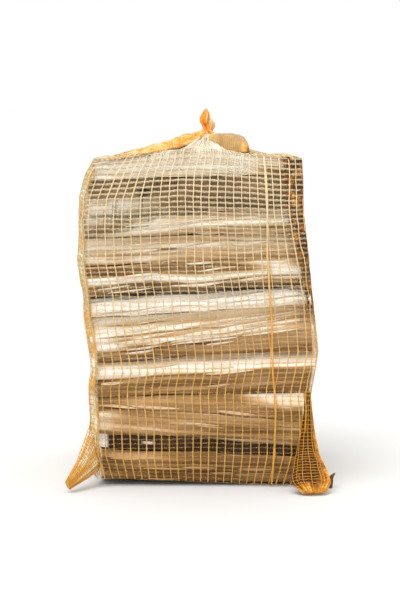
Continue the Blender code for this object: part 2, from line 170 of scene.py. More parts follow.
def waves(across, along, seed):
    """Smooth seeded noise from -1 to 1, at places given in cells."""
    table = np.random.default_rng(seed).uniform(-1, 1, (64, 64))
    across, along = np.broadcast_arrays(across, along)
    low_a, low_b = np.floor(across).astype(int), np.floor(along).astype(int)
    a, b = across - low_a, along - low_b
    a, b = a * a * (3 - 2 * a), b * b * (3 - 2 * b)
    i, j = low_a % 64, low_b % 64
    i2, j2 = (i + 1) % 64, (j + 1) % 64
    near = table[i, j] * (1 - a) + table[i2, j] * a
    far = table[i, j2] * (1 - a) + table[i2, j2] * a
    return near * (1 - b) + far * b


def unit(vectors):
    return vectors / np.maximum(np.linalg.norm(vectors, axis=-1, keepdims=True), 1e-9)


# Materials

class Link:
    """A shader socket that takes Python's arithmetic, each step as a Math node."""

    def __init__(self, look, socket):
        self.look, self.socket = look, socket

    def step(self, operation, first, second=None, third=None):
        values = {i: v for i, v in enumerate((first, second, third)) if v is not None}
        return self.look.node("ShaderNodeMath", {"operation": operation}, values)

    def __add__(self, other):
        return self.step("ADD", self, other)

    def __sub__(self, other):
        return self.step("SUBTRACT", self, other)

    def __mul__(self, other):
        return self.step("MULTIPLY", self, other)

    def __truediv__(self, other):
        return self.step("DIVIDE", self, other)

    def __rsub__(self, other):
        return self.step("SUBTRACT", other, self)

    def __pow__(self, other):
        return self.step("POWER", self, other)

    def __neg__(self):
        return self.step("MULTIPLY", self, -1.0)

    __radd__ = __add__
    __rmul__ = __mul__

    def clamped(self, low=0.0, high=1.0):
        return self.step("MINIMUM", self.step("MAXIMUM", self, low), high)

    def risen(self, low, high):
        """0 below one value and 1 above another, with a smooth rise between."""
        return self.look.node(
            "ShaderNodeMapRange", {"interpolation_type": "SMOOTHSTEP"},
            {0: self, 1: low, 2: high, 3: 0.0, 4: 1.0},
        )

    def fraction(self):
        return self.step("FRACT", self)


class Look:
    """One procedural material with a Principled shader."""

    def __init__(self, name, **fixed):
        self.material = bpy.data.materials.new(name)
        self.material.use_nodes = True
        self.tree = self.material.node_tree
        self.shader = self.tree.nodes["Principled BSDF"]
        for socket, value in fixed.items():
            self.shader.inputs[socket.replace("_", " ")].default_value = value

    def node(self, kind, settings=None, inputs=None, output=0):
        made = self.tree.nodes.new(kind)
        for setting, value in (settings or {}).items():
            setattr(made, setting, value)
        for socket, value in (inputs or {}).items():
            if isinstance(value, Link):
                self.tree.links.new(value.socket, made.inputs[socket])
            else:
                made.inputs[socket].default_value = value
        return Link(self, made.outputs[output])

    def place(self):
        return self.node("ShaderNodeTexCoord", output="Object")

    def attribute(self, name, output="Fac"):
        return self.node(
            "ShaderNodeAttribute", {"attribute_type": "GEOMETRY", "attribute_name": name}, output=output
        )

    def scaled(self, vector, scale):
        return self.node("ShaderNodeVectorMath", {"operation": "MULTIPLY"}, {0: vector, 1: scale})

    def shifted(self, vector, other):
        return self.node("ShaderNodeVectorMath", {"operation": "ADD"}, {0: vector, 1: other})

    def part(self, vector, axis):
        return self.node("ShaderNodeSeparateXYZ", None, {0: vector}, output=axis)

    def joined(self, x, y, z):
        return self.node("ShaderNodeCombineXYZ", None, {0: x, 1: y, 2: z})

    def length(self, vector):
        return self.node("ShaderNodeVectorMath", {"operation": "LENGTH"}, {0: vector}, output="Value")

    def noise(self, vector, scale, detail=3.0, roughness=0.55, distortion=0.0):
        return self.node(
            "ShaderNodeTexNoise", None,
            {"Vector": vector, "Scale": scale, "Detail": detail, "Roughness": roughness,
             "Distortion": distortion},
        )

    def ramp(self, value, stops):
        made = self.tree.nodes.new("ShaderNodeValToRGB")
        spots = made.color_ramp.elements
        while len(spots) < len(stops):
            spots.new(0.5)
        for spot, (at, colour) in zip(spots, stops):
            spot.position = at
            spot.color = (*colour, 1.0)
        self.tree.links.new(value.socket, made.inputs[0])
        return Link(self, made.outputs[0])

    def mixed(self, share, first, second, blend="MIX"):
        made = self.tree.nodes.new("ShaderNodeMix")
        made.data_type = "RGBA"
        made.blend_type = blend
        for spot, value in ((0, share), (6, first), (7, second)):
            if isinstance(value, Link):
                self.tree.links.new(value.socket, made.inputs[spot])
            else:
                made.inputs[spot].default_value = (*value, 1.0) if isinstance(value, tuple) else value
        return Link(self, made.outputs[2])

    def feed(self, socket, value):
        self.tree.links.new(value.socket, self.shader.inputs[socket])

    def bump(self, height, distance, strength=1.0):
        self.feed("Normal", self.node(
            "ShaderNodeBump", None, {"Height": height, "Distance": distance, "Strength": strength}
        ))


def birch_look(colours):
    """Split birch: long grain on the split faces, rings on the sawn ends and bark round the rest."""
    look = Look("split birch", Roughness=0.72, Specular_IOR_Level=0.28)
    place = look.place()
    tone, bark = look.attribute("tone"), look.attribute("bark")
    place = look.joined(look.part(place, "X"), look.part(place, "Y"),
                        look.part(place, "Z") - look.attribute("grain_rise"))
    end, crack = look.attribute("end"), look.attribute("crack")
    darkness, pith = look.attribute("bark_dark"), look.attribute("pith", "Vector")

    streaks = look.noise(look.scaled(place, (5.0, 95.0, 95.0)), 1.0, 5.0, 0.62)
    fibres = look.noise(look.scaled(place, (14.0, 520.0, 520.0)), 1.0, 3.0, 0.6)
    clouds = look.noise(look.scaled(place, (9.0, 22.0, 22.0)), 1.0, 3.0, 0.5)
    splits = look.noise(look.scaled(place, (5.0, 190.0, 190.0)), 1.0, 2.0, 0.5)
    level = tone + (streaks - 0.5) * 0.80 + (clouds - 0.5) * 0.36
    wood = look.ramp(level.clamped(), (
        (0.0, tuple(colours.fresh_wood)), (0.25, tuple(colours.cream_wood)),
        (0.52, tuple(colours.tan_wood)), (0.78, tuple(colours.brown_wood)),
        (1.0, tuple(colours.dark_wood)),
    ))
    wood = look.mixed((fibres - 0.5).clamped() * 0.55, wood, tuple(colours.brown_wood), "MULTIPLY")
    # Painted shade: the splits and cracks are drawn dark, as their recesses would be in shade
    split_and_crack_shade = splits.risen(0.64, 0.74) * 0.5 + (crack * (0.35 + clouds)).clamped()
    wood = look.mixed(split_and_crack_shade.clamped(0.0, 0.9), wood, rgb(104, 72, 42))

    # Sawn ends: growth rings round the pith, and drying cracks that run out from it, drawn dark as painted shade
    out = look.length(pith)
    wobble = look.noise(place, 60.0, 2.0)
    rings = look.node("ShaderNodeMath", {"operation": "SINE"}, {0: (out + wobble * 0.004) * 2300.0})
    across = look.node("ShaderNodeMath", {"operation": "ARCTAN2"},
                       {0: look.part(pith, "Z"), 1: look.part(pith, "Y")})
    checks = look.noise(look.joined(across * 5.0, out * 9.0, 0.0), 2.2, 1.0).risen(0.70, 0.76)
    sawn = look.mixed(rings * 0.10 + 0.12, tuple(colours.sawn_end), tuple(colours.tan_wood))
    sawn = look.mixed(clouds.risen(0.35, 0.8) * 0.45, sawn, tuple(colours.tan_wood))
    # Painted shade in the drying cracks
    sawn = look.mixed(checks * 0.8, sawn, rgb(84, 58, 34))
    wood = look.mixed(end, wood, sawn)

    # Bark: papery white, tan and near black, with short dark marks that run round the log
    patches = look.noise(look.scaled(place, (9.0, 26.0, 26.0)), 1.0, 4.0, 0.6)
    marks = look.noise(look.scaled(place, (170.0, 24.0, 24.0)), 1.0, 2.0, 0.5).risen(0.60, 0.68)
    peel = look.noise(look.scaled(place, (34.0, 90.0, 90.0)), 1.0, 4.0, 0.65)
    shade = (darkness + (patches - 0.5) * 1.0 + (peel - 0.5) * 0.4).clamped()
    rind = look.ramp(shade, (
        (0.0, tuple(colours.papery_bark)), (0.24, rgb(190, 176, 152)), (0.44, tuple(colours.tan_bark)),
        (0.74, rgb(98, 76, 46)), (1.0, tuple(colours.dark_bark)),
    ))
    rind = look.mixed(marks * 0.6, rind, rgb(62, 46, 32))
    look.feed("Base Color", look.mixed(bark, wood, rind))
    look.feed("Roughness", (0.78 - bark * 0.18 - (streaks - 0.5) * 0.2))
    relief = (streaks * 0.5 + fibres * 0.35 + splits * 0.3) * (1.0 - end) * (1.0 - bark)
    relief = relief + bark * (peel * 0.8 + marks * 0.5) + end * (rings * 0.05 - checks * 0.6)
    look.bump(relief, 0.0011, 0.8)
    return look.material


def strand_look(colours):
    """Knitted film: clear orange strands up and down, and pale see-through ones round the sack.
    Both are painted paler towards the top as painted light and deeper low down as painted shade.
    """
    look = Look("knitted net", Roughness=0.38, Specular_IOR_Level=0.5)
    place = look.place()
    weft, deep = look.attribute("weft"), look.attribute("deep")
    height = look.part(place, "Z").risen(0.02, 0.42)
    speckle = look.noise(place, 620.0, 2.0, 0.6)
    drift = look.noise(place, 16.0, 2.0)
    # Painted light and shade by height: uprights run from orange low down to peach at the top, round strands from
    # tan to cream
    upright = look.mixed((height ** 1.7 + (drift - 0.5) * 0.5).clamped(),
                         tuple(colours.orange_strand), tuple(colours.peach_strand))
    upright = look.mixed((speckle - 0.5).clamped() * 0.9, upright, tuple(colours.deep_orange))
    round_ = look.mixed((height + (drift - 0.5) * 0.5).clamped(),
                        tuple(colours.tan_weft), tuple(colours.cream_weft))
    round_ = look.mixed(speckle.risen(0.62, 0.75) * 0.5, round_, rgb(255, 250, 238))
    # Painted shade: the round strands are darker along the rim at the top of the walls
    round_ = look.mixed(look.part(place, "Z").risen(0.446, 0.456) * 0.42, round_, rgb(172, 146, 104))
    colour = look.mixed(weft, upright, round_)
    colour = look.mixed(deep.clamped(), colour, tuple(colours.deep_orange))
    # Past 1, deep turns the strands brown as painted shade, as on the right ear
    look.feed("Base Color", look.mixed((deep - 1.0).clamped(), colour, tuple(colours.brown_net)))
    high = look.part(place, "Z").risen(0.33, 0.42)
    clear = (0.09 + height * 0.23 + high * 0.30 + (speckle - 0.5) * 1.5).clamped(0.04, 0.92)
    film = (0.66 + height * 0.16 + deep * 0.2 + (speckle - 0.5) * 0.3).clamped(0.0, 0.96)
    look.feed("Alpha", (1.0 - weft) * film + weft * clear)
    look.bump(speckle, 0.0004, 0.6)
    return look.material


def gathered_look(colours):
    """The same knitting where it lies folded several layers deep: fine close mesh, almost solid."""
    look = Look("gathered net", Roughness=0.55, Specular_IOR_Level=0.15)
    weave = look.node("ShaderNodeUVMap", {"uv_map": "weave"})
    place = look.place()
    bend = look.noise(place, 55.0, 3.0)
    across = look.part(weave, "X") + (bend - 0.5) * 0.006
    along = look.part(weave, "Y") + (bend - 0.5) * 0.006
    uprights = look.node("ShaderNodeMath", {"operation": "SINE"}, {0: across * 2400.0})
    rungs = look.node("ShaderNodeMath", {"operation": "SINE"}, {0: along * 3100.0})
    holes = (uprights * 0.5 + 0.5) * (rungs * 0.5 + 0.5)
    layers = look.noise(place, 120.0, 3.0, 0.6)
    deep = look.attribute("deep")
    level = (layers - 0.5) * 1.1 + deep
    # The colour deepens with the layers of net, and its brown end is painted shade
    colour = look.ramp(level.clamped(), (
        (0.0, rgb(238, 231, 214)), (0.16, rgb(226, 206, 160)), (0.34, tuple(colours.yellow_net)),
        (0.56, tuple(colours.orange_net)),
        (0.8, rgb(158, 98, 32)), (1.0, tuple(colours.brown_net)),
    ))
    colour = look.mixed(look.attribute("grey"), colour, look.mixed(layers, rgb(182, 150, 102), rgb(158, 120, 72)))
    # Painted shade in the mesh holes, where the dark inside shows through
    colour = look.mixed(holes.risen(0.35, 0.9) * 0.55, colour, tuple(colours.brown_net), "MULTIPLY")
    look.feed("Base Color", colour)
    see = look.attribute("see_through")
    torn = (see - 1.0).clamped() * (holes * 1.4 + layers * 1.2 + 0.5)
    solid = 1.0 - holes.risen(0.25, 0.8) * see.clamped() * layers.risen(0.3, 0.6)
    look.feed("Alpha", (solid - torn).clamped())
    look.bump(holes * -0.7 + layers * 0.6, 0.0009, 0.8)
    return look.material


def knot_look(colours):
    """Bunched film: deep orange and darker in its creases, partly painted shade, and pale on its ridges."""
    look = Look("bunched film", Roughness=0.42, Specular_IOR_Level=0.45)
    weave = look.node("ShaderNodeUVMap", {"uv_map": "weave"})
    place = look.place()
    fold = look.attribute("deep")
    threads = look.node("ShaderNodeMath", {"operation": "SINE"}, {0: look.part(weave, "X") * 4200.0})
    grain = look.noise(place, 420.0, 3.0, 0.6)
    level = (fold * 1.1 + (grain - 0.5) * 0.9 + threads * 0.06 + 0.12).clamped()
    colour = look.ramp(level, (
        (0.0, rgb(206, 186, 156)), (0.22, rgb(236, 178, 96)), (0.48, tuple(colours.knot_orange)),
        (0.78, rgb(220, 112, 12)), (1.0, rgb(160, 78, 10)),
    ))
    look.feed("Base Color", colour)
    look.bump(threads * 0.25 + grain * 0.8, 0.0006, 0.8)
    return look.material


# Sizes and colours

class FirewoodSizes(bpy.types.PropertyGroup):
    front_columns: IntProperty(
        name="Front columns", description="Upright strands across the front", default=26, min=8)
    side_columns: IntProperty(
        name="Side columns", description="Upright strands across each side", default=22, min=6)
    row_pitch: FloatProperty(
        name="Row pitch", description="Height from one round strand to the next",
        default=0.0066, min=0.003, unit="LENGTH")
    upright_width: FloatProperty(
        name="Upright width", description="Width of an upright strand", default=0.0015, unit="LENGTH")
    round_width: FloatProperty(
        name="Round width", description="Width of a strand that runs round the sack",
        default=0.0027, unit="LENGTH")
    net_clearance: FloatProperty(
        name="Net clearance", description="Gap between the net and the wood", default=0.0012,
        unit="LENGTH")
    fibre_depth: FloatProperty(
        name="Fibre depth", description="Depth of the torn fibres on split faces", default=0.0012,
        unit="LENGTH")
    ridge_depth: FloatProperty(
        name="Ridge depth", description="Depth between the torn ridges of a split face",
        default=0.0026, unit="LENGTH")


def colour_property(name, words, red, green, blue):
    return FloatVectorProperty(
        name=name, description=words, subtype="COLOR", size=3, min=0, max=1,
        default=rgb(red, green, blue))


class FirewoodColours(bpy.types.PropertyGroup):
    # On the front logs the pale wood colours also serve as painted light and the tan and brown ones as painted
    # shade
    fresh_wood: colour_property("Fresh wood", "Palest split face", 250, 246, 236)
    cream_wood: colour_property("Cream wood", "Most split faces", 230, 213, 183)
    tan_wood: colour_property("Tan wood", "Older split faces", 194, 159, 114)
    brown_wood: colour_property("Brown wood", "Darker split faces", 148, 114, 70)
    dark_wood: colour_property("Dark wood", "Darkest streaks", 112, 80, 45)
    sawn_end: colour_property("Sawn end", "Sawn ends of the logs", 234, 224, 202)
    papery_bark: colour_property("Papery bark", "White outer bark", 224, 219, 210)
    tan_bark: colour_property("Tan bark", "Weathered bark", 138, 108, 68)
    dark_bark: colour_property("Dark bark", "Near-black bark", 44, 28, 12)
    # The strands' low and high colours carry painted shade low down and painted light near the top
    orange_strand: colour_property("Orange strand", "Upright strands low down", 232, 168, 42)
    peach_strand: colour_property("Peach strand", "Upright strands near the top", 236, 214, 168)
    deep_orange: colour_property("Deep orange", "The thick marker strand", 222, 158, 46)
    tan_weft: colour_property("Tan round strand", "Round strands low down", 192, 154, 98)
    cream_weft: colour_property("Cream round strand", "Round strands near the top", 208, 190, 154)
    yellow_net: colour_property("Yellow net", "Net lying in few layers", 232, 188, 104)
    orange_net: colour_property("Orange net", "Net lying in many layers", 232, 150, 42)
    brown_net: colour_property("Brown net", "Shaded layers of net", 80, 44, 6)
    knot_orange: colour_property("Knot orange", "The gathered neck", 238, 150, 28)
    floor: colour_property("Floor", "The plain floor", 208, 208, 207)


# Making meshes

def alone(thing):
    """Leaves one object selected and active."""
    bpy.ops.object.select_all(action="DESELECT")
    thing.select_set(True)
    bpy.context.view_layer.objects.active = thing


def points_of(mesh):
    flat = np.empty(len(mesh.vertices) * 3)
    mesh.vertices.foreach_get("co", flat)
    return flat.reshape(-1, 3)


def move_points(mesh, points):
    mesh.vertices.foreach_set("co", np.ascontiguousarray(points, dtype=np.float64).ravel())
    mesh.update()


def give(mesh, name, values):
    """A number, or three, on each vertex for the material to read."""
    values = np.asarray(values, dtype=np.float32)
    kind = "FLOAT_VECTOR" if values.ndim == 2 else "FLOAT"
    made = mesh.attributes.new(name, kind, "POINT")
    made.data.foreach_set("vector" if values.ndim == 2 else "value", values.ravel())


def mesh_object(name, points, faces):
    """An object from arrays of points and of four-sided faces."""
    mesh = bpy.data.meshes.new(name)
    mesh.vertices.add(len(points))
    mesh.vertices.foreach_set("co", np.asarray(points, dtype=np.float64).ravel())
    mesh.loops.add(len(faces) * 4)
    mesh.loops.foreach_set("vertex_index", np.asarray(faces, dtype=np.int32).ravel())
    mesh.polygons.add(len(faces))
    mesh.polygons.foreach_set("loop_start", np.arange(0, len(faces) * 4, 4, dtype=np.int32))
    mesh.update(calc_edges=True)
    if mesh.validate():
        raise RuntimeError(f"{name} has faulty faces")
    made = bpy.data.objects.new(name, mesh)
    bpy.context.scene.collection.objects.link(made)
    return made


def finished(piece, look, nodes=(), smooth=None):
    """Gives a piece its material and its place in the frame."""
    piece.data.materials.clear()
    piece.data.materials.append(look)
    if smooth:
        alone(piece)
        bpy.ops.object.shade_smooth_by_angle(angle=math.radians(smooth))
    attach(piece, "root")
    if nodes:
        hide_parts(*nodes)
    return piece


# Logs

def log_blank(around, along, end_rings):
    """A round bar along X, cut into rings and stations, that every log is shaped from."""
    bpy.ops.object.select_all(action="DESELECT")
    bpy.ops.mesh.primitive_cylinder_add(
        vertices=around, radius=1, depth=1, end_fill_type="NGON", rotation=(0, math.pi / 2, 0))
    blank = bpy.context.object
    bpy.ops.object.transform_apply(location=True, rotation=True, scale=True)
    bpy.ops.object.mode_set(mode="EDIT")
    bpy.ops.mesh.select_mode(type="EDGE")
    bpy.ops.mesh.select_all(action="DESELECT")
    bpy.ops.object.mode_set(mode="OBJECT")
    places = points_of(blank.data)
    for edge in blank.data.edges:
        first, second = edge.vertices
        edge.select = bool(abs(places[first, 0] - places[second, 0]) > 0.5)
    bpy.ops.object.mode_set(mode="EDIT")
    bpy.ops.mesh.subdivide(number_cuts=along - 1)
    bpy.ops.mesh.select_mode(type="FACE")
    bpy.ops.mesh.select_all(action="DESELECT")
    bpy.ops.object.mode_set(mode="OBJECT")
    for face in blank.data.polygons:
        face.select = len(face.vertices) == around
    bpy.ops.object.mode_set(mode="EDIT")
    for _ in range(end_rings):
        bpy.ops.mesh.inset(thickness=1 / (end_rings + 1), use_even_offset=False)
    bpy.ops.mesh.poke()
    bpy.ops.object.mode_set(mode="OBJECT")
    places = points_of(blank.data)
    turn = np.arctan2(places[:, 2], places[:, 1]) % (2 * math.pi)
    reach = np.hypot(places[:, 1], places[:, 2])
    return {
        "object": blank,
        "share": np.clip(places[:, 0] + 0.5, 0, 1),
        "turn": np.round(turn / (2 * math.pi) * around).astype(int) % around,
        "reach": np.where(reach > 0.999, 1.0, reach),
        "around": around,
        "capped": np.abs(places[:, 0]) > 0.4999,
    }


STATIONS = (0.03, 0.06, 0.25, 0.47, 0.53, 0.75, 0.94, 0.97)


def read_log(name, turns):
    """The surface of a log's solid: a table of points by station and turn, and its facets."""
    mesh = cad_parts[name].data
    corners = [v.co.copy() for v in mesh.vertices]
    tree = BVHTree.FromPolygons(corners, [tuple(p.vertices) for p in mesh.polygons])
    ends = []
    for side in (-1, 1):
        faces = [p for p in mesh.polygons if p.normal.x * side > 0.9]
        area = sum(p.area for p in faces)
        centre = sum((p.center * p.area for p in faces), Vector()) / area
        normal = sum((p.normal * p.area for p in faces), Vector()).normalized()
        ends.append((centre, normal))
    start, finish = ends[0][0], ends[1][0]
    table = np.empty((len(STATIONS), len(turns), 3))
    normals = np.empty((len(turns), 3))
    for i, share in enumerate(STATIONS):
        origin = start.lerp(finish, share)
        for j, turn in enumerate(turns):
            hit, normal, _, _ = tree.ray_cast(origin, Vector((0, math.cos(turn), math.sin(turn))))
            if hit is None:
                raise RuntimeError(f"a ray missed {name}")
            table[i, j] = hit
            if i == 3:
                normals[j] = normal
    for row, next_row, (centre, normal) in ((0, 1, ends[0]), (7, 6, ends[1])):
        slope = table[row] - table[next_row]
        gap = ((np.array(centre) - table[row]) @ np.array(normal)) / (slope @ np.array(normal))
        table[row] = table[row] + slope * gap[:, None]
    return table, normals, ends


def stack_sway(points):
    """The whole stack's slow unevenness: every log follows it, so that none meets its neighbour."""
    fade = np.clip(np.minimum(points[:, 2] / 0.06, (0.4476 - points[:, 2]) / 0.03), 0, 1)
    moved = points.copy()
    moved[:, 2] += fade * (0.0021 * waves(points[:, 0] * 13 + 5, points[:, 2] * 21, 33)
                           + 0.0009 * waves(points[:, 0] * 34 + 2, points[:, 2] * 36, 34))
    return moved


def face_tone(stops, share, height):
    """The tone at each place on a face, from stops that shift from one end to the other.
    The tone holds the wood's own colour and the painted light and shade of the face's facets.
    """
    table = [(left + (right - left) * share, first + (last - first) * share)
             for left, first, right, last in stops]
    tone = table[0][1]
    for (low, before), (high, after) in zip(table, table[1:]):
        tone = tone + (after - before) * np.clip((height - low) / (high - low), 0, 1)
    return tone


def inside(at, low, high, soft):
    """1 between two values and 0 outside them, with a soft change."""
    return np.clip(np.minimum(at - low, high - at) / soft + 0.5, 0, 1)


def x_lean(x, slope, seed):
    """How far a line of fibres has climbed at each place along a log."""
    return x * slope + 0.0035 * waves(x * 7 + 11, 0.3, seed + 8)


def bark_facets(section, normals, fallback):
    """Which turns lie on bark: the facets of a round back turn by 15 degrees from each to the next.
    Gives the share of bark on each turn, and the pith."""
    angle = np.arctan2(normals[:, 2], normals[:, 1])
    around = len(angle)
    group = np.zeros(around, dtype=int)
    for j in range(1, around):
        turned = abs((angle[j] - angle[j - 1] + math.pi) % (2 * math.pi) - math.pi)
        group[j] = group[j - 1] + (turned > 0.04)
    if abs((angle[0] - angle[-1] + math.pi) % (2 * math.pi) - math.pi) <= 0.04:
        group[group == group[-1]] = 0
    labels = sorted(set(group))
    facing = [angle[group == g][0] for g in labels]
    bark_labels = set()
    for k, label in enumerate(labels):
        follower = (k + 1) % len(labels)
        turned = abs((facing[follower] - facing[k] + math.pi) % (2 * math.pi) - math.pi)
        if abs(turned - math.radians(15)) < math.radians(1.6):
            bark_labels |= {label, labels[follower]}
    if len(bark_labels) < 3:
        return np.zeros(around), fallback
    rows, values = [], []
    for label in bark_labels:
        normal = normals[group == label][0, 1:]
        rows.append((normal[0], normal[1], 1.0))
        values.append(normal @ section[group == label][0, 1:])
    solved = np.linalg.lstsq(np.array(rows), np.array(values), rcond=None)[0]
    mask = np.isin(group, list(bark_labels)).astype(float)
    return mask, solved[:2]


def splinters(surface, outward, count, rng, share_range, climb):
    """Thin lifted slivers along a face: arrays of points and faces."""
    along_count = 12
    points, faces = [], []
    stations, around = surface.shape[:2]
    for _ in range(count):
        turn = int(rng.choice(share_range))
        first = rng.uniform(0.02, 0.75)
        length = rng.uniform(0.10, 0.30)
        spacing = np.linalg.norm(surface[12, (turn + 1) % around] - surface[12, turn])
        run = np.linalg.norm(surface[-1, turn] - surface[0, turn]) * length
        lean = rng.uniform(-1.5, 1.5) - climb * run / max(spacing, 1e-4)
        width = rng.uniform(0.0010, 0.0022)
        base = len(points)
        for k in range(along_count + 1):
            share = first + length * k / along_count
            if share > 0.99:
                share = 0.99
            at = share * (stations - 1)
            low = int(at)
            column = (turn + lean * k / along_count)
            c0 = int(math.floor(column)) % around
            c1 = (c0 + 1) % around
            part = column - math.floor(column)
            here = surface[low] * (1 - (at - low)) + surface[min(low + 1, stations - 1)] * (at - low)
            place = here[c0] * (1 - part) + here[c1] * part
            out = outward[c0] * (1 - part) + outward[c1] * part
            side = np.array((0.0, -out[2], out[1]))
            taper = math.sin(math.pi * min(1.0, 0.06 + k / along_count * 0.94)) ** 0.6
            lift = -0.0006 + 0.0011 * math.sin(math.pi * k / along_count)
            for a, b in ((-1, -0.6), (1, -0.6), (0.7, 0.5), (-0.7, 0.5)):
                points.append(place + out * (lift + b * 0.0007) + side * (a * width * max(taper, 0.08)))
        for k in range(along_count):
            for q in range(4):
                a, b = base + k * 4 + q, base + k * 4 + (q + 1) % 4
                faces.append((a, a + 4, b + 4, b))
        faces.append((base, base + 1, base + 2, base + 3))
        last = base + along_count * 4
        faces.append((last + 3, last + 2, last + 1, last))
    return points, faces


def make_log(name, blank, facing, sizes, seed):
    """One split log: shaped to its solid, with torn fibres, cracks, slivers and bark."""
    around = blank["around"]
    even = np.arange(around) / around * 2 * math.pi
    turns = even if facing is None else even - 0.45 * np.sin(even - facing)
    table, normals, ends = read_log(name, turns)
    stops = np.array((0.0, *STATIONS[1:-1], 1.0))
    middle = table[3]
    centroid = middle[:, 1:].mean(axis=0)
    mask, pith = bark_facets(middle, normals, centroid + np.array((0.055, 0.012)))
    rng = np.random.default_rng(seed)
    climb = CLIMB.get(name, 0.0)

    share, turn, reach = blank["share"], blank["turn"], blank["reach"]
    slot = np.clip(np.searchsorted(stops, share, side="right") - 1, 0, len(stops) - 2)
    part = ((share - stops[slot]) / (stops[slot + 1] - stops[slot]))[:, None]
    points = table[slot, turn] * (1 - part) + table[slot + 1, turn] * part
    arc = np.concatenate(((0.0,), np.cumsum(np.linalg.norm(np.diff(middle, axis=0), axis=1))))[turn]
    outward = np.stack((np.zeros(around), np.cos(turns), np.sin(turns)), axis=1)
    low = table[:, :, 2].min(axis=1)
    high = table[:, :, 2].max(axis=1)
    bottom, top = np.interp(share, stops, low), np.interp(share, stops, high)
    height = (points[:, 2] - bottom) / (top - bottom)

    # The logs in front are packed tight, and the foot of the lowest is lifted a little at the left
    if name in FRONT_FACES:
        points[:, 2] += TIGHT * (2 * np.clip(height, 0, 1) - 1)
    if name == "log_front_01":
        seen = np.clip(-2 * np.cos(turns[turn]) + 0.6, 0, 1)
        points[:, 2] += (0.0085 - 0.0070 * share) * np.clip(1 - height / 0.6, 0, 1) * seen

    # Long torn ridges: each has a narrow top, painted paler as a painted highlight, and a broad lower side
    ridge_run = (points[:, 2] - low.min() + x_lean(points[:, 0], rng.uniform(-0.02, 0.02) - climb, seed)) \
        / rng.uniform(0.012, 0.017)
    ridge_share = ridge_run - np.floor(ridge_run)
    crest = np.where(ridge_share < 0.70, ridge_share / 0.70, (1 - ridge_share) / 0.30)
    strength = np.clip(0.55 + 0.9 * waves(points[:, 0] * 6 + 3, np.floor(ridge_run) * 1.7, seed + 7), 0, 1)
    ridge_highlight = (ridge_share > 0.70) * strength

    # Torn fibres: long shallow waves, and ledges where a strip has come away
    x = points[:, 0]
    bark = mask[turn]
    if name in FACE_PATCHES or name in FRONT_BARK:
        painted = np.zeros(len(points))
        if name in FRONT_BARK:
            above = height - reading(BARK_FROM.get(name, ((0, -1),)), share)
            below = reading(BARK_UP_TO.get(name, ((0, 2),)), share) - height
            edge = 0.04 * waves(x * 60, 0.5, seed + 10)
            painted = np.clip((np.minimum(above, below) + edge) * (top - bottom) / 0.0024 + 0.5, 0, 1)
            for first, last, low_edge, high_edge in BARK_GAPS.get(name, ()):
                painted = painted * (1 - inside(share + edge * 0.3, first, last, 0.016)
                                     * inside(height + edge, low_edge, high_edge, 0.08))
        bark = np.where(np.cos(turns[turn] - math.pi) > 0.0, painted, bark)
    slant = x * (rng.uniform(-0.02, 0.02) + climb)
    depth = 0.5 + 0.5 * waves(x * 9 + 7, (arc + slant) / 0.0060, seed)
    ledge = waves(x * 7, (arc + slant * 2) / 0.0110, seed + 1)
    fine = waves(x * 26, (arc + slant) / 0.0021, seed + 2)
    sunk = sizes.fibre_depth * (0.55 * depth + 0.5 * np.clip(ledge * 5, 0, 1) + 0.22 * fine + 0.1)
    rind = 0.0008 * (0.5 + 0.5 * waves(x * 120, arc / 0.014, seed + 3)) \
        + 0.0006 * (0.5 + 0.5 * waves(x * 40, arc / 0.02, seed + 4))
    if facing is not None:
        sunk = sunk + sizes.ridge_depth * strength * (1 - crest)
    sunk = np.where(bark > 0.5, rind, sunk)

    # How far each place lies in a crack: the material paints shade there
    crack = np.zeros(len(points))
    tones, cracks = FRONT_FACES.get(name, ((), ()))
    if not cracks and name not in FRONT_FACES:
        cracks = [
            (rng.uniform(0, 0.4), h, rng.uniform(0.6, 1.0), h + rng.uniform(-0.06, 0.06), 0.002)
            for h in rng.uniform(0.15, 0.85, 3)
        ]
    for start, h0, finish, h1, deep in cracks:
        run = np.clip((share - start) / (finish - start), 0, 1)
        path = h0 + (h1 - h0) * run + 0.012 * waves(share * 14, 0.5, seed + 9)
        gap = np.abs(height - path) * (top - bottom)
        fade = np.clip(np.minimum(share - start, finish - share) / 0.06 + 0.15, 0, 1)
        opened = fade * np.clip(1 - gap / (0.0011 + 0.3 * deep), 0, 1) * (1 - bark)
        crack = np.maximum(crack, opened * min(1.0, deep / 0.0028))
        sunk = sunk + opened * deep
    sunk = np.where(blank["capped"] & (reach < 1), 0, sunk)
    points = points - outward[turn] * sunk[:, None]

    # Ends: flat rings drawn in to the middle, a little rough from the saw
    for is_end, row in ((share < 0.001, 0), (share > 0.999, -1)):
        centre = table[row].mean(axis=0)
        inner = is_end & (reach < 1)
        rim = table[row][turn[inner]]
        points[inner] = centre + (rim - centre) * reach[inner][:, None]
        rough = waves(points[inner, 1] * 90, points[inner, 2] * 500, seed + 5)
        points[inner, 0] += rough * 0.00025

    # Front faces: tones from the stops and patches, with their painted light and painted shade
    if tones:
        tone = face_tone(tones, share, height)
        for first, last, low_edge, high_edge, patch in FACE_PATCHES.get(name, ()):
            covered = inside(share + 0.3 * (height - low_edge) * (first > 0.7), first, last, 0.13) \
                * inside(height + 0.04 * waves(x * 30, 0.5, seed + 11), low_edge, high_edge, 0.05)
            tone = tone + (patch - tone) * covered
    else:
        side_tones = rng.uniform(0.05, 0.75, 64)
        groups = (np.round(np.arctan2(normals[:, 2], normals[:, 1]) * 6).astype(int)) % 64
        tone = side_tones[groups][turn]
    tone = tone + 0.16 * waves(share * 4, arc / 0.022, seed + 6)
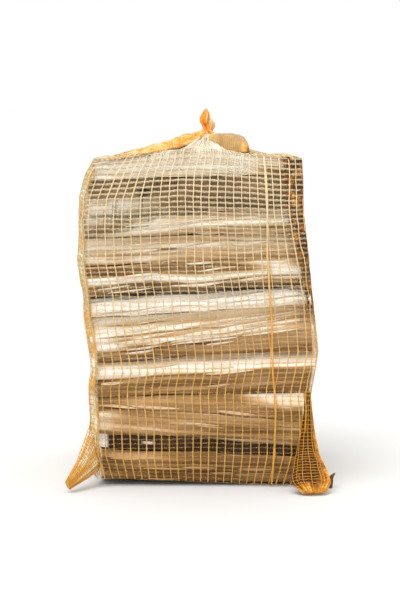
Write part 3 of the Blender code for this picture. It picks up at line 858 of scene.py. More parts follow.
    # Painted highlight: the narrow top of each ridge is paler
    tone = tone - 0.22 * ridge_highlight + 0.05
    darkness = np.full(len(points), FRONT_BARK.get(name, rng.uniform(0.15, 0.65)))
    if name == "log_front_10":
        darkness = darkness + 0.06 * np.clip((share - 0.35) * 3, 0, 1) \
            - 0.60 * np.clip((0.44 - height) / 0.12, 0, 1) * np.clip(1.2 - share * 2.8, 0, 1)
        darkness = darkness + 1.1 * np.clip(1 - np.hypot((share - 0.275) / 0.040, (height - 0.60) / 0.16), 0, 1)
    if name == "log_front_07":
        darkness = darkness + 0.4 * (height < 0.12)
    end = (blank["capped"]).astype(float)
    vein = np.stack((np.zeros(len(points)), points[:, 1] - pith[0], points[:, 2] - pith[1]), axis=1)

    log = blank["object"].copy()
    log.data = blank["object"].data.copy()
    log.name = log.data.name = name.replace("log", "birch")
    bpy.context.scene.collection.objects.link(log)
    points = stack_sway(points)
    points[:, 0] -= np.interp(height, (0, 1), REACH_LEFT.get(name, (0, 0))) * (1 - share)
    points[:, 0] += np.interp(height, (0, 1), REACH_RIGHT.get(name, (0, 0))) * share
    if name == "log_front_11":
        points[:, 2] += CROWN * np.sin(math.pi * share) ** 0.8 * np.clip((height - 0.35) / 0.65, 0, 1)
    move_points(log.data, points)
    grain_rise = climb * points[:, 0] + 0.0022 * waves(points[:, 0] * 16 + 3, points[:, 2] * 14, seed + 12)

    # Lifted slivers on the faces that show
    extra, extra_faces = [], []
    if facing is not None:
        towards = np.cos(turns - facing)
        free = np.nonzero((towards > 0.75) & (mask < 0.5))[0]
        if len(free) and SLIVERS.get(name, PLAIN_SLIVERS):
            grid = np.stack([
                np.stack([np.interp(s, stops, table[:, j, axis]) for axis in range(3)], axis=-1)
                for s in np.linspace(0, 1, 25) for j in range(around)
            ]).reshape(25, around, 3)
            count = SLIVERS.get(name, PLAIN_SLIVERS)
            extra, extra_faces = splinters(grid, outward, count, rng, free, climb)
            extra = list(stack_sway(np.array(extra)))
    if extra:
        shell = mesh_object("slivers", np.array(extra), np.array(extra_faces))
        alone(log)
        shell.select_set(True)
        bpy.ops.object.join()
        more = len(extra)
        # The slivers are painted paler than their log: painted highlight, partly fresher wood
        tone = np.concatenate((tone, np.full(more, max(0.0, float(np.mean(tone)) - 0.25))))
        bark = np.concatenate((bark, np.zeros(more)))
        end = np.concatenate((end, np.zeros(more)))
        crack = np.concatenate((crack, np.zeros(more)))
        darkness = np.concatenate((darkness, np.zeros(more)))
        vein = np.concatenate((vein, np.zeros((more, 3))))
        grain_rise = np.concatenate((grain_rise, climb * np.array(extra)[:, 0]))
    mesh = log.data
    for label, values in (("tone", tone), ("bark", bark), ("end", end), ("crack", crack),
                          ("bark_dark", darkness), ("pith", vein), ("grain_rise", grain_rise)):
        give(mesh, label, values)
    return log


# Net

def sack_loop(height, way_round):
    """Points on the sack's plain outline and the outward directions there.
    The way round is 0 to 4: front, right, rear, left, each from the middle of a corner to the next."""
    left, right = reading(LEFT_WALL, height), reading(RIGHT_WALL, height)
    side = np.floor(way_round).astype(int) % 4
    part = way_round - np.floor(way_round)
    zero, one = np.zeros_like(height), np.ones_like(height)
    start_x = np.choose(side, (left, right, right, left))
    start_y = np.choose(side, (WALL_FRONT * one, WALL_FRONT * one, WALL_REAR * one, WALL_REAR * one))
    along_x = np.choose(side, (one, zero, -one, zero))
    along_y = np.choose(side, (zero, one, zero, -one))
    out_x, out_y = along_y, -along_x
    length = np.choose(side, (right - left, (WALL_REAR - WALL_FRONT) * one,
                              right - left, (WALL_REAR - WALL_FRONT) * one))
    straight = length - 2 * WALL_CORNER
    bend = math.pi * WALL_CORNER / 4
    run = part * (straight + 2 * bend) - bend
    angle = np.where(run < 0, run / WALL_CORNER, np.where(run > straight, (run - straight) / WALL_CORNER, 0))
    forward = np.where(run < 0, WALL_CORNER, np.where(run > straight, length - WALL_CORNER, WALL_CORNER + run))
    forward = forward + WALL_CORNER * np.sin(angle)
    lateral = WALL_CORNER * (np.cos(angle) - 1)
    x = start_x + along_x * forward + out_x * lateral
    y = start_y + along_y * forward + out_y * lateral
    nx = along_x * np.sin(angle) + out_x * np.cos(angle)
    ny = along_y * np.sin(angle) + out_y * np.cos(angle)
    return np.stack((x, y, height), axis=-1), np.stack((nx, ny, zero), axis=-1)


def stack_tree():
    """All the logs' solids in one search tree."""
    corners, faces = [], []
    for name in LOG_NODES:
        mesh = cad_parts[name].data
        base = len(corners)
        corners.extend(v.co.copy() for v in mesh.vertices)
        faces.extend(tuple(base + i for i in p.vertices) for p in mesh.polygons)
    return BVHTree.FromPolygons(corners, faces)


FINE = 3  # samples from one strand to the next


def sack_walls(sizes):
    """The grid of points that the net's walls follow, close over the logs, and the directions out."""
    counts = (sizes.front_columns, sizes.side_columns, sizes.front_columns, sizes.side_columns)
    columns = np.concatenate([side + np.arange(n * FINE) / (n * FINE) for side, n in enumerate(counts)])
    rows = int(round((WALL_TOP - 0.003) / sizes.row_pitch))
    levels = np.linspace(0.003, WALL_TOP, rows * FINE + 1)
    height = np.repeat(levels[:, None], len(columns), axis=1)
    way = np.repeat(columns[None, :], len(levels), axis=0)
    sway = np.clip(np.minimum(height - 0.003, WALL_TOP - height) / 0.05, 0, 1)
    height = height + sway * 0.0030 * waves(way * 2.1, height * 9, 11) \
        + sway * 0.0011 * waves(way * 9.0, height * 30, 12)
    way = way + sway * 0.016 * waves(way * 5.0, height * 8, 13)
    # The strands by the front corners run down and inward, because the ears pull the cloth round
    front = (way < 1)
    pull = np.clip((0.125 - height) / 0.125, 0, 1) ** 1.2
    way = way + np.where(front, pull * (0.045 * np.clip(1 - way / 0.55, 0, 1)
                                        - 0.020 * np.clip(1 - (1 - way) / 0.3, 0, 1)), 0)
    near_top = np.clip((height - 0.350) / 0.100, 0, 1)
    across = way - np.floor(way)
    lean = 0.35 * (across - 0.52) + 2.4 * (across - 0.52) ** 3
    way = way - (np.floor(way) % 2 == 0) * lean * 0.10 * near_top ** 1.7 \
        * np.clip(np.minimum(across, 1 - across) / 0.1, 0, 1)
    # The front and back are drawn up towards the neck in the middle, and the foot lifts at the left
    middle = np.sin(np.clip(way - np.floor(way), 0, 1) * math.pi) ** 1.6 * (np.floor(way) % 2 == 0)
    near_top = np.clip((height - 0.385) / 0.065, 0, 1)
    height = height + 0.0090 * middle * near_top ** 1.5
    foot_lift = np.where(front, 0.0105 * np.clip(1 - way / 0.85, 0, 1), 0) \
        + np.where(way > 3, 0.0105 * np.clip((way - 3.6) / 0.4, 0, 1), 0)
    height = height + foot_lift * np.clip(1 - height / 0.05, 0, 1)
    base, out = sack_loop(height, way)
    tree = stack_tree()
    depth = np.empty(height.shape)
    for i in range(height.shape[0]):
        for j in range(height.shape[1]):
            origin = Vector(base[i, j] + out[i, j] * 0.012)
            hit, _, _, far = tree.ray_cast(origin, Vector(-out[i, j]), 0.05)
            depth[i, j] = far - 0.012 if hit is not None else 0.038
    # A taut net dips only a little between one ridge and the next
    rise = height[:, None, :] - height[None, :, :]
    taut = (depth[None, :, :] + 9.0 * rise ** 2).min(axis=1)
    spread = np.arange(-6, 7)
    taut = np.min([np.roll(taut, k, axis=1) + 0.00006 * k * k for k in spread], axis=0)
    for _ in range(2):
        taut = (np.roll(taut, 1, axis=1) + 2 * taut + np.roll(taut, -1, axis=1)) / 4
        taut[1:-1] = (taut[:-2] + 2 * taut[1:-1] + taut[2:]) / 4
    foot = np.clip(1 - height / 0.028, 0, 1) ** 2
    loose = np.where(np.abs(out[..., 0]) > 0.5, 0.0, 0.030) + foot * 0.013
    for _ in range(3):
        loose = (np.roll(loose, 1, axis=1) + loose + np.roll(loose, -1, axis=1)) / 3
    net = np.minimum(np.minimum(taut, depth) - sizes.net_clearance, loose)
    net = net + 0.10 * np.maximum(height - 0.4485, 0)
    net = net - 0.0004 * (1 + waves(way * 40, height * 160, 14))
    points = base - out * net[..., None]
    return points, out, counts


def strands(centres, outward, widths, depths):
    """Closed flat strands, one for each row of centre points: points and four-sided faces."""
    count, length = centres.shape[:2]
    ahead = unit(np.gradient(centres, axis=1))
    side = unit(np.cross(ahead, outward))
    above = np.cross(side, ahead)
    rings = np.stack([
        centres + side * (widths * a / 2)[..., None] + above * (depths * b)[..., None]
        for a, b in ((-1, -0.5), (1, -0.5), (1, 0.5), (-1, 0.5))
    ], axis=2)
    index = np.arange(count * length * 4).reshape(count, length, 4)
    faces = [
        np.stack((index[:, :-1, q], index[:, 1:, q], index[:, 1:, (q + 1) % 4],
                  index[:, :-1, (q + 1) % 4]), axis=-1).reshape(-1, 4)
        for q in range(4)
    ]
    faces.append(index[:, 0, :])
    faces.append(index[:, -1, ::-1])
    return rings.reshape(-1, 3), np.concatenate(faces)


def knitting(points, outward, sizes, seed, closed=False, finer=1.0, shared=0, lowest=0):
    """Upright and round strands on a grid of points. Gives the points, faces and weft marks.
    The last upright is left out where the next wall has it, and the rounds start at the lowest row."""
    rng = np.random.default_rng(seed)
    rows, columns = points.shape[:2]
    kept = slice(0, columns - shared, FINE)
    up = np.swapaxes(points[:, kept] + outward[:, kept] * 0.0005, 0, 1)
    up_out = np.swapaxes(outward[:, kept], 0, 1)
    stitch = np.array((1.25, 0.85, 0.9))[np.arange(rows) % FINE]
    width = sizes.upright_width * finer * stitch[None, :] * rng.uniform(0.8, 1.2, (len(up), 1))
    width = np.broadcast_to(width, up.shape[:2])
    sideways = unit(np.cross(np.gradient(up, axis=1), up_out))
    zigzag = np.where(np.arange(rows) % 2 == 0, 0.00022, -0.00022)[None, :, None]
    up = up + sideways * zigzag
    first, first_faces = strands(up, up_out, width, np.full(up.shape[:2], 0.0009))
    if closed:
        points = np.concatenate((points, points[:, :1]), axis=1)
        outward = np.concatenate((outward, outward[:, :1]), axis=1)
        columns += 1
    across = points[lowest::FINE]
    across_out = outward[lowest::FINE]
    lens = np.array((0.72, 1.12, 1.12))[np.arange(columns) % FINE]
    slim = 0.62 + 0.38 * np.clip((across[..., 2] - 0.10) / 0.25, 0, 1)
    wide = sizes.round_width * finer * slim * lens[None, :] * rng.uniform(0.80, 1.15, across.shape[:2])
    lift = np.array((0.0, 0.0, 1.0)) * rng.normal(0, 0.00028, across.shape[:2])[..., None]
    second, second_faces = strands(across + lift, across_out, wide, np.full(across.shape[:2], 0.0003))
    weft = np.concatenate((np.zeros(len(first)), np.ones(len(second))))
    return (np.concatenate((first, second)),
            np.concatenate((first_faces, second_faces + len(first))), weft)


def marker_strand(points, outward, sizes):
    """The thick orange strand that runs down the front, right of the middle."""
    path = ((0.003, 0.098), (0.060, 0.102), (0.118, 0.103), (0.160, 0.0985), (0.232, 0.0970),
            (0.252, 0.0950), (0.320, 0.0905), (0.395, 0.0900), (0.430, 0.0885), (0.4505, 0.0860))
    front = points.shape[1]
    spots, outs = [], []
    for row in range(points.shape[0]):
        along = points[row, :, 0]
        want = reading(path, points[row, :, 2].mean())
        k = int(np.clip(np.searchsorted(along, want), 1, front - 1))
        part = (want - along[k - 1]) / (along[k] - along[k - 1])
        spots.append(points[row, k - 1] * (1 - part) + points[row, k] * part)
        outs.append(outward[row, k])
    spots, outs = np.array(spots), np.array(outs)
    spots = spots + outs * 0.0011
    wide = 0.0027 * np.array((1.15, 0.85, 1.0))[np.arange(len(spots)) % 3]
    return strands(spots[None], outs[None], wide[None], np.full((1, len(spots)), 0.0012))


def net_piece(name, parts, look, nodes):
    """One piece of net from several sets of strands, each with its weft and colour marks."""
    points, faces, weft, deep, base = [], [], [], [], 0
    for some_points, some_faces, some_weft, some_deep in parts:
        points.append(some_points)
        faces.append(some_faces + base)
        weft.append(np.broadcast_to(some_weft, len(some_points)))
        deep.append(np.broadcast_to(some_deep, len(some_points)))
        base += len(some_points)
    piece = mesh_object(name, np.concatenate(points), np.concatenate(faces))
    give(piece.data, "weft", np.concatenate(weft))
    give(piece.data, "deep", np.concatenate(deep))
    piece.data.shade_smooth()
    return finished(piece, look, nodes)


def tent_grid(rim, sizes):
    """From the top of the walls up to the neck: grid points and directions out."""
    rings = 22
    share = np.linspace(0, 1, rings * FINE + 1)[:, None]
    neck = np.array(NECK)
    turn = np.arctan2(rim[:, 1] - neck[1], rim[:, 0] - neck[0])[None, :]
    goal = np.stack((neck[0] + 0.009 * np.cos(turn[0]), neck[1] + 0.009 * np.sin(turn[0]),
                     np.full(len(rim), neck[2])), axis=-1)
    flat = rim[None] * (1 - share[..., None]) + goal[None] * share[..., None]
    rise = share ** 1.45
    height = rim[None, :, 2] + (neck[2] - rim[None, :, 2]) * rise
    shoulder = 0.0034 * np.clip(share / 0.06, 0, 1) * np.clip(1 - share / 0.55, 0, 1)
    height = height + shoulder * (1 - 1.7 * np.clip((-0.095 - flat[..., 0]) / 0.035, 0, 1))
    pleat = np.sin(turn * 17 + 3 * np.sin(turn * 2)) * 0.0030 + np.sin(turn * 29 + 1.0) * 0.0016
    height = height + pleat * (share * (1 - share) * 4) ** 0.8 * (0.4 + share)
    height = height + 0.0012 * waves(turn * 9, share * 7, 21) * np.clip(share * (1 - share) * 8, 0, 1)
    sagging = np.clip((flat[..., 0] - 0.030) / 0.02, 0, 1) * np.clip((0.128 - flat[..., 0]) / 0.03, 0, 1)
    height = height - 0.0060 * sagging * np.clip(share / 0.3, 0, 1)
    height = np.clip(height, 0.4490, 0.4845)
    points = np.stack((flat[..., 0], flat[..., 1], height), axis=-1)
    up = np.gradient(points, axis=0)
    round_ = np.roll(points, -1, axis=1) - np.roll(points, 1, axis=1)
    out = unit(np.cross(round_, up))
    return points, out


def sheet_object(name, grid, thickness, marks=()):
    """A thin closed sheet on a grid of points, with a value on each point for every mark."""
    rows, columns = grid.shape[:2]
    bpy.ops.object.select_all(action="DESELECT")
    bpy.ops.mesh.primitive_grid_add(x_subdivisions=columns - 1, y_subdivisions=rows - 1, size=2)
    sheet = bpy.context.object
    sheet.name = sheet.data.name = name
    places = points_of(sheet.data)
    i = np.round((places[:, 1] + 1) / 2 * (rows - 1)).astype(int)
    j = np.round((places[:, 0] + 1) / 2 * (columns - 1)).astype(int)
    move_points(sheet.data, grid[i, j])
    weave = sheet.data.uv_layers[0]
    weave.name = "weave"
    across = np.concatenate(((0,), np.cumsum(np.linalg.norm(np.diff(grid[rows // 2], axis=0), axis=1))))
    along = np.concatenate(((0,), np.cumsum(np.linalg.norm(np.diff(grid[:, columns // 2], axis=0), axis=1))))
    corner = np.empty(len(sheet.data.loops), dtype=np.int32)
    sheet.data.loops.foreach_get("vertex_index", corner)
    flat = np.stack((across[j], along[i]), axis=-1)[corner]
    weave.data.foreach_set("uv", flat.astype(np.float32).ravel())
    for label, values in marks:
        give(sheet.data, label, np.broadcast_to(values, grid.shape[:2])[i, j])
    thick = sheet.modifiers.new("thickness", "SOLIDIFY")
    thick.thickness = thickness
    thick.offset = 0
    alone(sheet)
    bpy.ops.object.modifier_apply(modifier=thick.name)
    return sheet


def gathered_sheet(name, grid, deep, see_through, look, grey=0.0):
    """A sheet of net that lies several layers thick."""
    marks = (("deep", deep), ("see_through", see_through), ("grey", grey))
    sheet = sheet_object(name, grid, 0.0005, marks)
    return finished(sheet, look, smooth=60)


def curve_points(control, count):
    """Evenly stepped points on a smooth curve through a few control values."""
    control = np.asarray(control, dtype=float)
    at = np.linspace(0, len(control) - 1, count)
    low = np.clip(np.floor(at).astype(int), 0, len(control) - 2)
    part = (at - low)[:, None]
    flat = control.reshape(len(control), -1)
    before, here = flat[np.maximum(low - 1, 0)], flat[low]
    after, last = flat[low + 1], flat[np.minimum(low + 2, len(control) - 1)]
    made = 0.5 * (2 * here + (after - before) * part + (2 * before - 5 * here + 4 * after - last) * part ** 2
                  + (3 * here - before - 3 * after + last) * part ** 3)
    return made.reshape((count,) + control.shape[1:])


def pouch_grid(centres, widths, depths, wide_way, folds, fold_depth, twist, around, along, seed):
    """A tapering, pleated, flattened tube: grid points, and how far each lies in a pleat."""
    line = curve_points(centres, along)
    wide = curve_points(np.array(widths)[:, None], along)[:, 0]
    deep = curve_points(np.array(depths)[:, None], along)[:, 0]
    ahead = unit(np.gradient(line, axis=0))
    ways = np.asarray(wide_way, dtype=float)
    ways = np.repeat(ways[None], along, axis=0) if ways.ndim == 1 else curve_points(ways, along)
    across = unit(ways)
    through = unit(np.cross(ahead, across))
    turn = np.arange(around) / around * 2 * math.pi
    travel = np.linspace(0, 1, along)[:, None]
    pleat = np.sin(turn[None] * folds + twist * travel + 1.3 * np.sin(turn[None] * 2 + seed))
    pleat = pleat + 0.5 * np.sin(turn[None] * (folds * 2 + 1) - twist * travel * 1.6 + seed)
    crumple = waves(turn[None] * 3 + 5, travel * 7, seed) * 0.6
    swell = 1 + fold_depth * (pleat * 0.66 + crumple)
    points = line[:, None] + across[:, None] * (wide[:, None] * np.cos(turn) * swell)[..., None] \
        + through[:, None] * (deep[:, None] * np.sin(turn) * swell)[..., None]
    return points, -(pleat * 0.6 + crumple) * 0.5


def pouch(name, blank, grid, pleat, deep, see_through):
    """A closed form on a grid of points round a line, capped at both ends."""
    along, around = grid.shape[:2]
    share, turn, reach = blank["share"], blank["turn"], blank["reach"]
    row = share * (along - 1)
    low = np.clip(np.floor(row).astype(int), 0, along - 2)
    part = (row - low)[:, None]
    points = grid[low, turn] * (1 - part) + grid[low + 1, turn] * part
    folded = pleat[low, turn] * (1 - part[:, 0]) + pleat[low + 1, turn] * part[:, 0]
    for is_end, line in ((share < 0.001, grid[0]), (share > 0.999, grid[-1])):
        inner = is_end & (reach < 1)
        centre = line.mean(axis=0)
        points[inner] = centre + (points[inner] - centre) * reach[inner][:, None]
    made = blank["object"].copy()
    made.data = blank["object"].data.copy()
    made.name = made.data.name = name
    bpy.context.scene.collection.objects.link(made)
    move_points(made.data, points)
    girth = np.linalg.norm(np.diff(grid, axis=1), axis=-1).sum(axis=1).mean()
    length = np.linalg.norm(np.diff(grid.mean(axis=1), axis=0), axis=-1).sum()
    corner = np.empty(len(made.data.loops), dtype=np.int32)
    made.data.loops.foreach_get("vertex_index", corner)
    weave = made.data.uv_layers.new(name="weave")
    flat = np.stack((turn / around * girth, share * length), axis=-1)[corner]
    weave.data.foreach_set("uv", flat.astype(np.float32).ravel())
    # Deeper colour in the creases: partly the doubled film, partly painted shade
    give(made.data, "deep", np.interp(share, (0, 1), deep) + 0.35 * folded)
    give(made.data, "see_through", np.full(len(points), see_through))
    return made


def upright_bark(name, look):
    """The loose curl of bark: a thin sheet, ragged along its edges."""
    low, high = (np.array(corner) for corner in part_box("bark_flake"))
    rows, columns = 26, 18
    share = np.linspace(0, 1, rows)[:, None]
    round_ = np.linspace(-1, 1, columns)[None, :]
    curl = round_ * (1.1 + 0.9 * share ** 2) + 0.6
    radius = 0.0056 * (1 - 0.30 * share)
    ragged = 0.0034 * waves(round_ * 4, 0.5, 91) * share + 0.0022 * round_ * share
    hook = np.clip((share - 0.70) / 0.30, 0, 1) ** 2
    x = (low[0] + high[0]) / 2 + radius * np.sin(curl) * 0.8 + (share - 0.5) * 0.0030 + hook * 0.0020
    y = (low[1] + high[1]) / 2 - radius * np.cos(curl) + 0.002 - hook * 0.0030
    z = share * (high[2] - 0.0045) + ragged + 0.0008
    z = np.clip(z, 0.0008, high[2] - 0.0008)
    x = x + 0.0005 * waves(round_ * 9, share * 12, 92)
    grid = np.stack(np.broadcast_arrays(x, y, z), axis=-1)
    flake = sheet_object(name, grid, 0.0014)
    count = len(flake.data.vertices)
    for label, value in (("tone", 0.8), ("bark", 1.0), ("end", 0.0), ("crack", 0.0), ("bark_dark", 0.80),
                         ("grain_rise", 0.0)):
        give(flake.data, label, np.full(count, value))
    give(flake.data, "pith", np.zeros((count, 3)))
    return finished(flake, look, ("bark_flake",), smooth=50)


class FIREWOOD_OT_stage(bpy.types.Operator):
    """Add the plain floor, the soft light and the camera"""
    bl_idname = "firewood.stage"
    bl_label = "Stage"

    def execute(self, context):
        colours = context.scene.firewood_colours
        bpy.ops.object.select_all(action="DESELECT")
        bpy.ops.mesh.primitive_plane_add(size=60, location=(0, 0, 0))
        floor = context.object
        floor.name = "floor"
        look = Look("plain floor", Roughness=0.9, Specular_IOR_Level=0.1)
        grain = look.noise(look.place(), 3.0, 2.0)
        tint = tuple(colours.floor)
        look.feed("Base Color", look.mixed(grain * 0.04, tint, tuple(v * 0.9 for v in tint)))
        floor.data.materials.append(look.material)

        world = bpy.data.worlds.new("soft white")
        world.use_nodes = True
        tree = world.node_tree
        sky = tree.nodes["Background"]
        sky.inputs[1].default_value = 1.0
        direction = tree.nodes.new("ShaderNodeTexCoord")
        upward = tree.nodes.new("ShaderNodeSeparateXYZ")
        dome = tree.nodes.new("ShaderNodeValToRGB")
        dome.color_ramp.elements[0].position = 0.30
        dome.color_ramp.elements[0].color = (1.0, 1.0, 1.0, 1.0)
        dome.color_ramp.elements[1].position = 0.80
        dome.color_ramp.elements[1].color = (1.25, 1.25, 1.25, 1.0)
        tree.links.new(direction.outputs["Generated"], upward.inputs[0])
        tree.links.new(upward.outputs["Z"], dome.inputs[0])
        tree.links.new(dome.outputs[0], sky.inputs[0])
        context.scene.world = world
        bpy.ops.object.light_add(type="SUN", location=(-0.6, -1.0, 3.0))
        lamp = context.object
        lamp.name = "overhead"
        lamp.data.energy = 2.1
        lamp.data.angle = math.radians(40)
        lamp.data.color = (1.0, 0.995, 0.985)
        lamp.rotation_euler = (Vector((0.22, 0.42, -1.0))).to_track_quat("-Z", "Y").to_euler()

        eye, aim = Vector((0.0, -2.113, 0.48)), Vector((-0.0005, -0.113, 0.2605))
        bpy.ops.object.camera_add(location=eye, rotation=(aim - eye).to_track_quat("-Z", "Y").to_euler())
        camera = context.object
        camera.data.lens = 89.1
        camera.data.sensor_width = 36
        camera.data.clip_start = 0.05
        context.scene.camera = camera
        context.scene.view_settings.view_transform = "Standard"
        return {"FINISHED"}


class FIREWOOD_OT_logs(bpy.types.Operator):
    """Shape the split birch logs over their solids"""
    bl_idname = "firewood.logs"
    bl_label = "Split logs"

    def execute(self, context):
        sizes = context.scene.firewood_sizes
        look = birch_look(context.scene.firewood_colours)
        shown = log_blank(160, 80, 5)
        plain = log_blank(80, 36, 5)
        for number, name in enumerate(LOG_NODES):
            facing = math.pi if "front" in name else 0.0 if "rear" in name else None
            blank = plain if facing is None else shown
            log = make_log(name, blank, facing, sizes, 40 + number * 7)
            finished(log, look, (name,), smooth=40)
        for blank in (shown, plain):
            bpy.data.objects.remove(blank["object"])
        return {"FINISHED"}


class FIREWOOD_OT_sack(bpy.types.Operator):
    """Knit the net sack over the logs, with its floor and its gathered top"""
    bl_idname = "firewood.sack"
    bl_label = "Net sack"

    def execute(self, context):
        sizes, colours = context.scene.firewood_sizes, context.scene.firewood_colours
        look = strand_look(colours)
        points, out, counts = sack_walls(sizes)
        closed_points = np.concatenate((points, points[:, :1]), axis=1)
        closed_out = np.concatenate((out, out[:, :1]), axis=1)
        edge = 0
        names = ("net_front", "net_side_right", "net_rear", "net_side_left")
        for number, (name, count) in enumerate(zip(names, counts)):
            here = slice(edge, edge + count * FINE + 1)
            wall, faces = closed_points[:, here], closed_out[:, here]
            parts = [(*knitting(wall, faces, sizes, 60 + number, shared=1), 0.0)]
            if name == "net_front":
                thick_points, thick_faces = marker_strand(wall, faces, sizes)
                parts.append((thick_points, thick_faces, 0.0, np.clip((0.37 - thick_points[:, 2]) / 0.13, 0, 1)))
            net_piece(name + "_knit", parts, look, (name,))
            edge += count * FINE

        tent, tent_out = tent_grid(points[-1], sizes)
        some = knitting(tent, tent_out, sizes, 70, closed=True, finer=0.8, lowest=FINE)
        net_piece("net_tent_knit", [(some[0], some[1], some[2], 0.0)], look, ("net_tent",))

        # Slack folds of the sack inside its front corners, and over the top right corner. The right one
        # is brown as painted shade, for the dark gap between the log ends and the side net.
        layered = gathered_look(colours)
        around = points.shape[1]
        heights = points[:, 0, 2]
        for name, first, last, low, high, shift, deep, see in (
            ("net_fold_left", int(-3.2 * FINE), int(0.5 * FINE), 0.015, 0.440, -0.0014, 0.24, 0.80),
            ("net_shaded_fold_corner", int(24.5 * FINE), int(28.5 * FINE), 0.225, 0.4500, -0.0004, 0.98, 0.66),
        ):
            columns = np.arange(first, last + 1) % around
            rows = np.nonzero((heights >= low) & (heights <= high))[0]
            grid = points[np.ix_(rows, columns)] + out[np.ix_(rows, columns)] * shift
            facing = out[np.ix_(rows, columns)]
            if name == "net_shaded_fold_corner":
                over = tent[1:FINE * 2, columns]
                grid = np.concatenate((grid, over + np.array((0, 0, -0.0004))))
                facing = np.concatenate((facing, tent_out[1:FINE * 2, columns]))
            level = np.linspace(0, 1, len(grid))[:, None]
            crosswise = np.linspace(0, 1, len(columns))[None, :]
            foot = level / 0.30 if name == "net_shaded_fold_corner" else level / 0.06
            narrow = 0.34 * (1 - level) if name == "net_shaded_fold_corner" else 0
            edge = np.minimum(np.minimum((crosswise - narrow) / 0.12, (1 - crosswise) / 0.22), foot)
            ripple = 0.0007 * waves(np.arange(len(columns))[None] * 0.9, level * 30, 77)
            browner = 0.22 * waves(crosswise * 5, level * 26, 89) + 0 * level
            gathered_sheet(name, grid + facing * ripple[..., None], deep + browner,
                           see + 1.05 * np.clip(1 - edge + 0.4 * waves(crosswise * 9, level * 40, 78), 0, 1),
                           layered)

        # Close pale pleats that run down from the neck over the front
        columns = np.arange(int(5.0 * FINE), int(21.0 * FINE) + 1)
        below = 4 * FINE
        fan = np.concatenate((points[-below:-1, columns], tent[:, columns]))
        fan_out = np.concatenate((out[-below:-1, columns], tent_out[:, columns]))
        down = np.linspace(1, 0, len(fan))[:, None]
        crosswise = np.linspace(0, 1, len(columns))[None, :]
        crease = np.abs(waves(crosswise * 34, down * 1.5, 79))
        fan = fan + fan_out * (0.0004 + 0.0020 * crease * np.clip(1.2 - 1.2 * down, 0, 1))[..., None]
        edge = np.minimum(np.minimum(crosswise, 1 - crosswise) / 0.34, (1 - down) / 0.40)
        edge = edge + 0.35 * (crease - 0.4) * (1 - down)
        gathered_sheet("net_pleats_front", fan, -0.22 + 0.42 * crease,
                       0.50 + 0.30 * down + 1.1 * np.clip(1.0 - edge, 0, 1), layered,
                       grey=np.clip(0.86 - 0.55 * crosswise - 1.1 * crease, 0.0, 0.6) + 0 * down)

        x = np.linspace(-0.1405, 0.1385, sizes.front_columns * FINE + 1)
        y = np.linspace(-0.0450, 0.1335, int(0.234 / sizes.row_pitch) * FINE + 1)
        flat_x, flat_y = np.meshgrid(x, y)
        flat_x = flat_x + 0.001 * waves(flat_x * 30, flat_y * 30, 31)
        flat = np.stack((flat_x, flat_y, np.full(flat_x.shape, 0.0007)), axis=-1)
        down = np.broadcast_to(np.array((0.0, 0.0, 1.0)), flat.shape)
        some = knitting(flat, down, sizes, 72)
        some[0][:, 2] = np.maximum(some[0][:, 2], 0.0)
        net_piece("net_floor_knit", [(some[0], some[1], some[2], 0.0)], look, ("net_floor",))
        return {"FINISHED"}


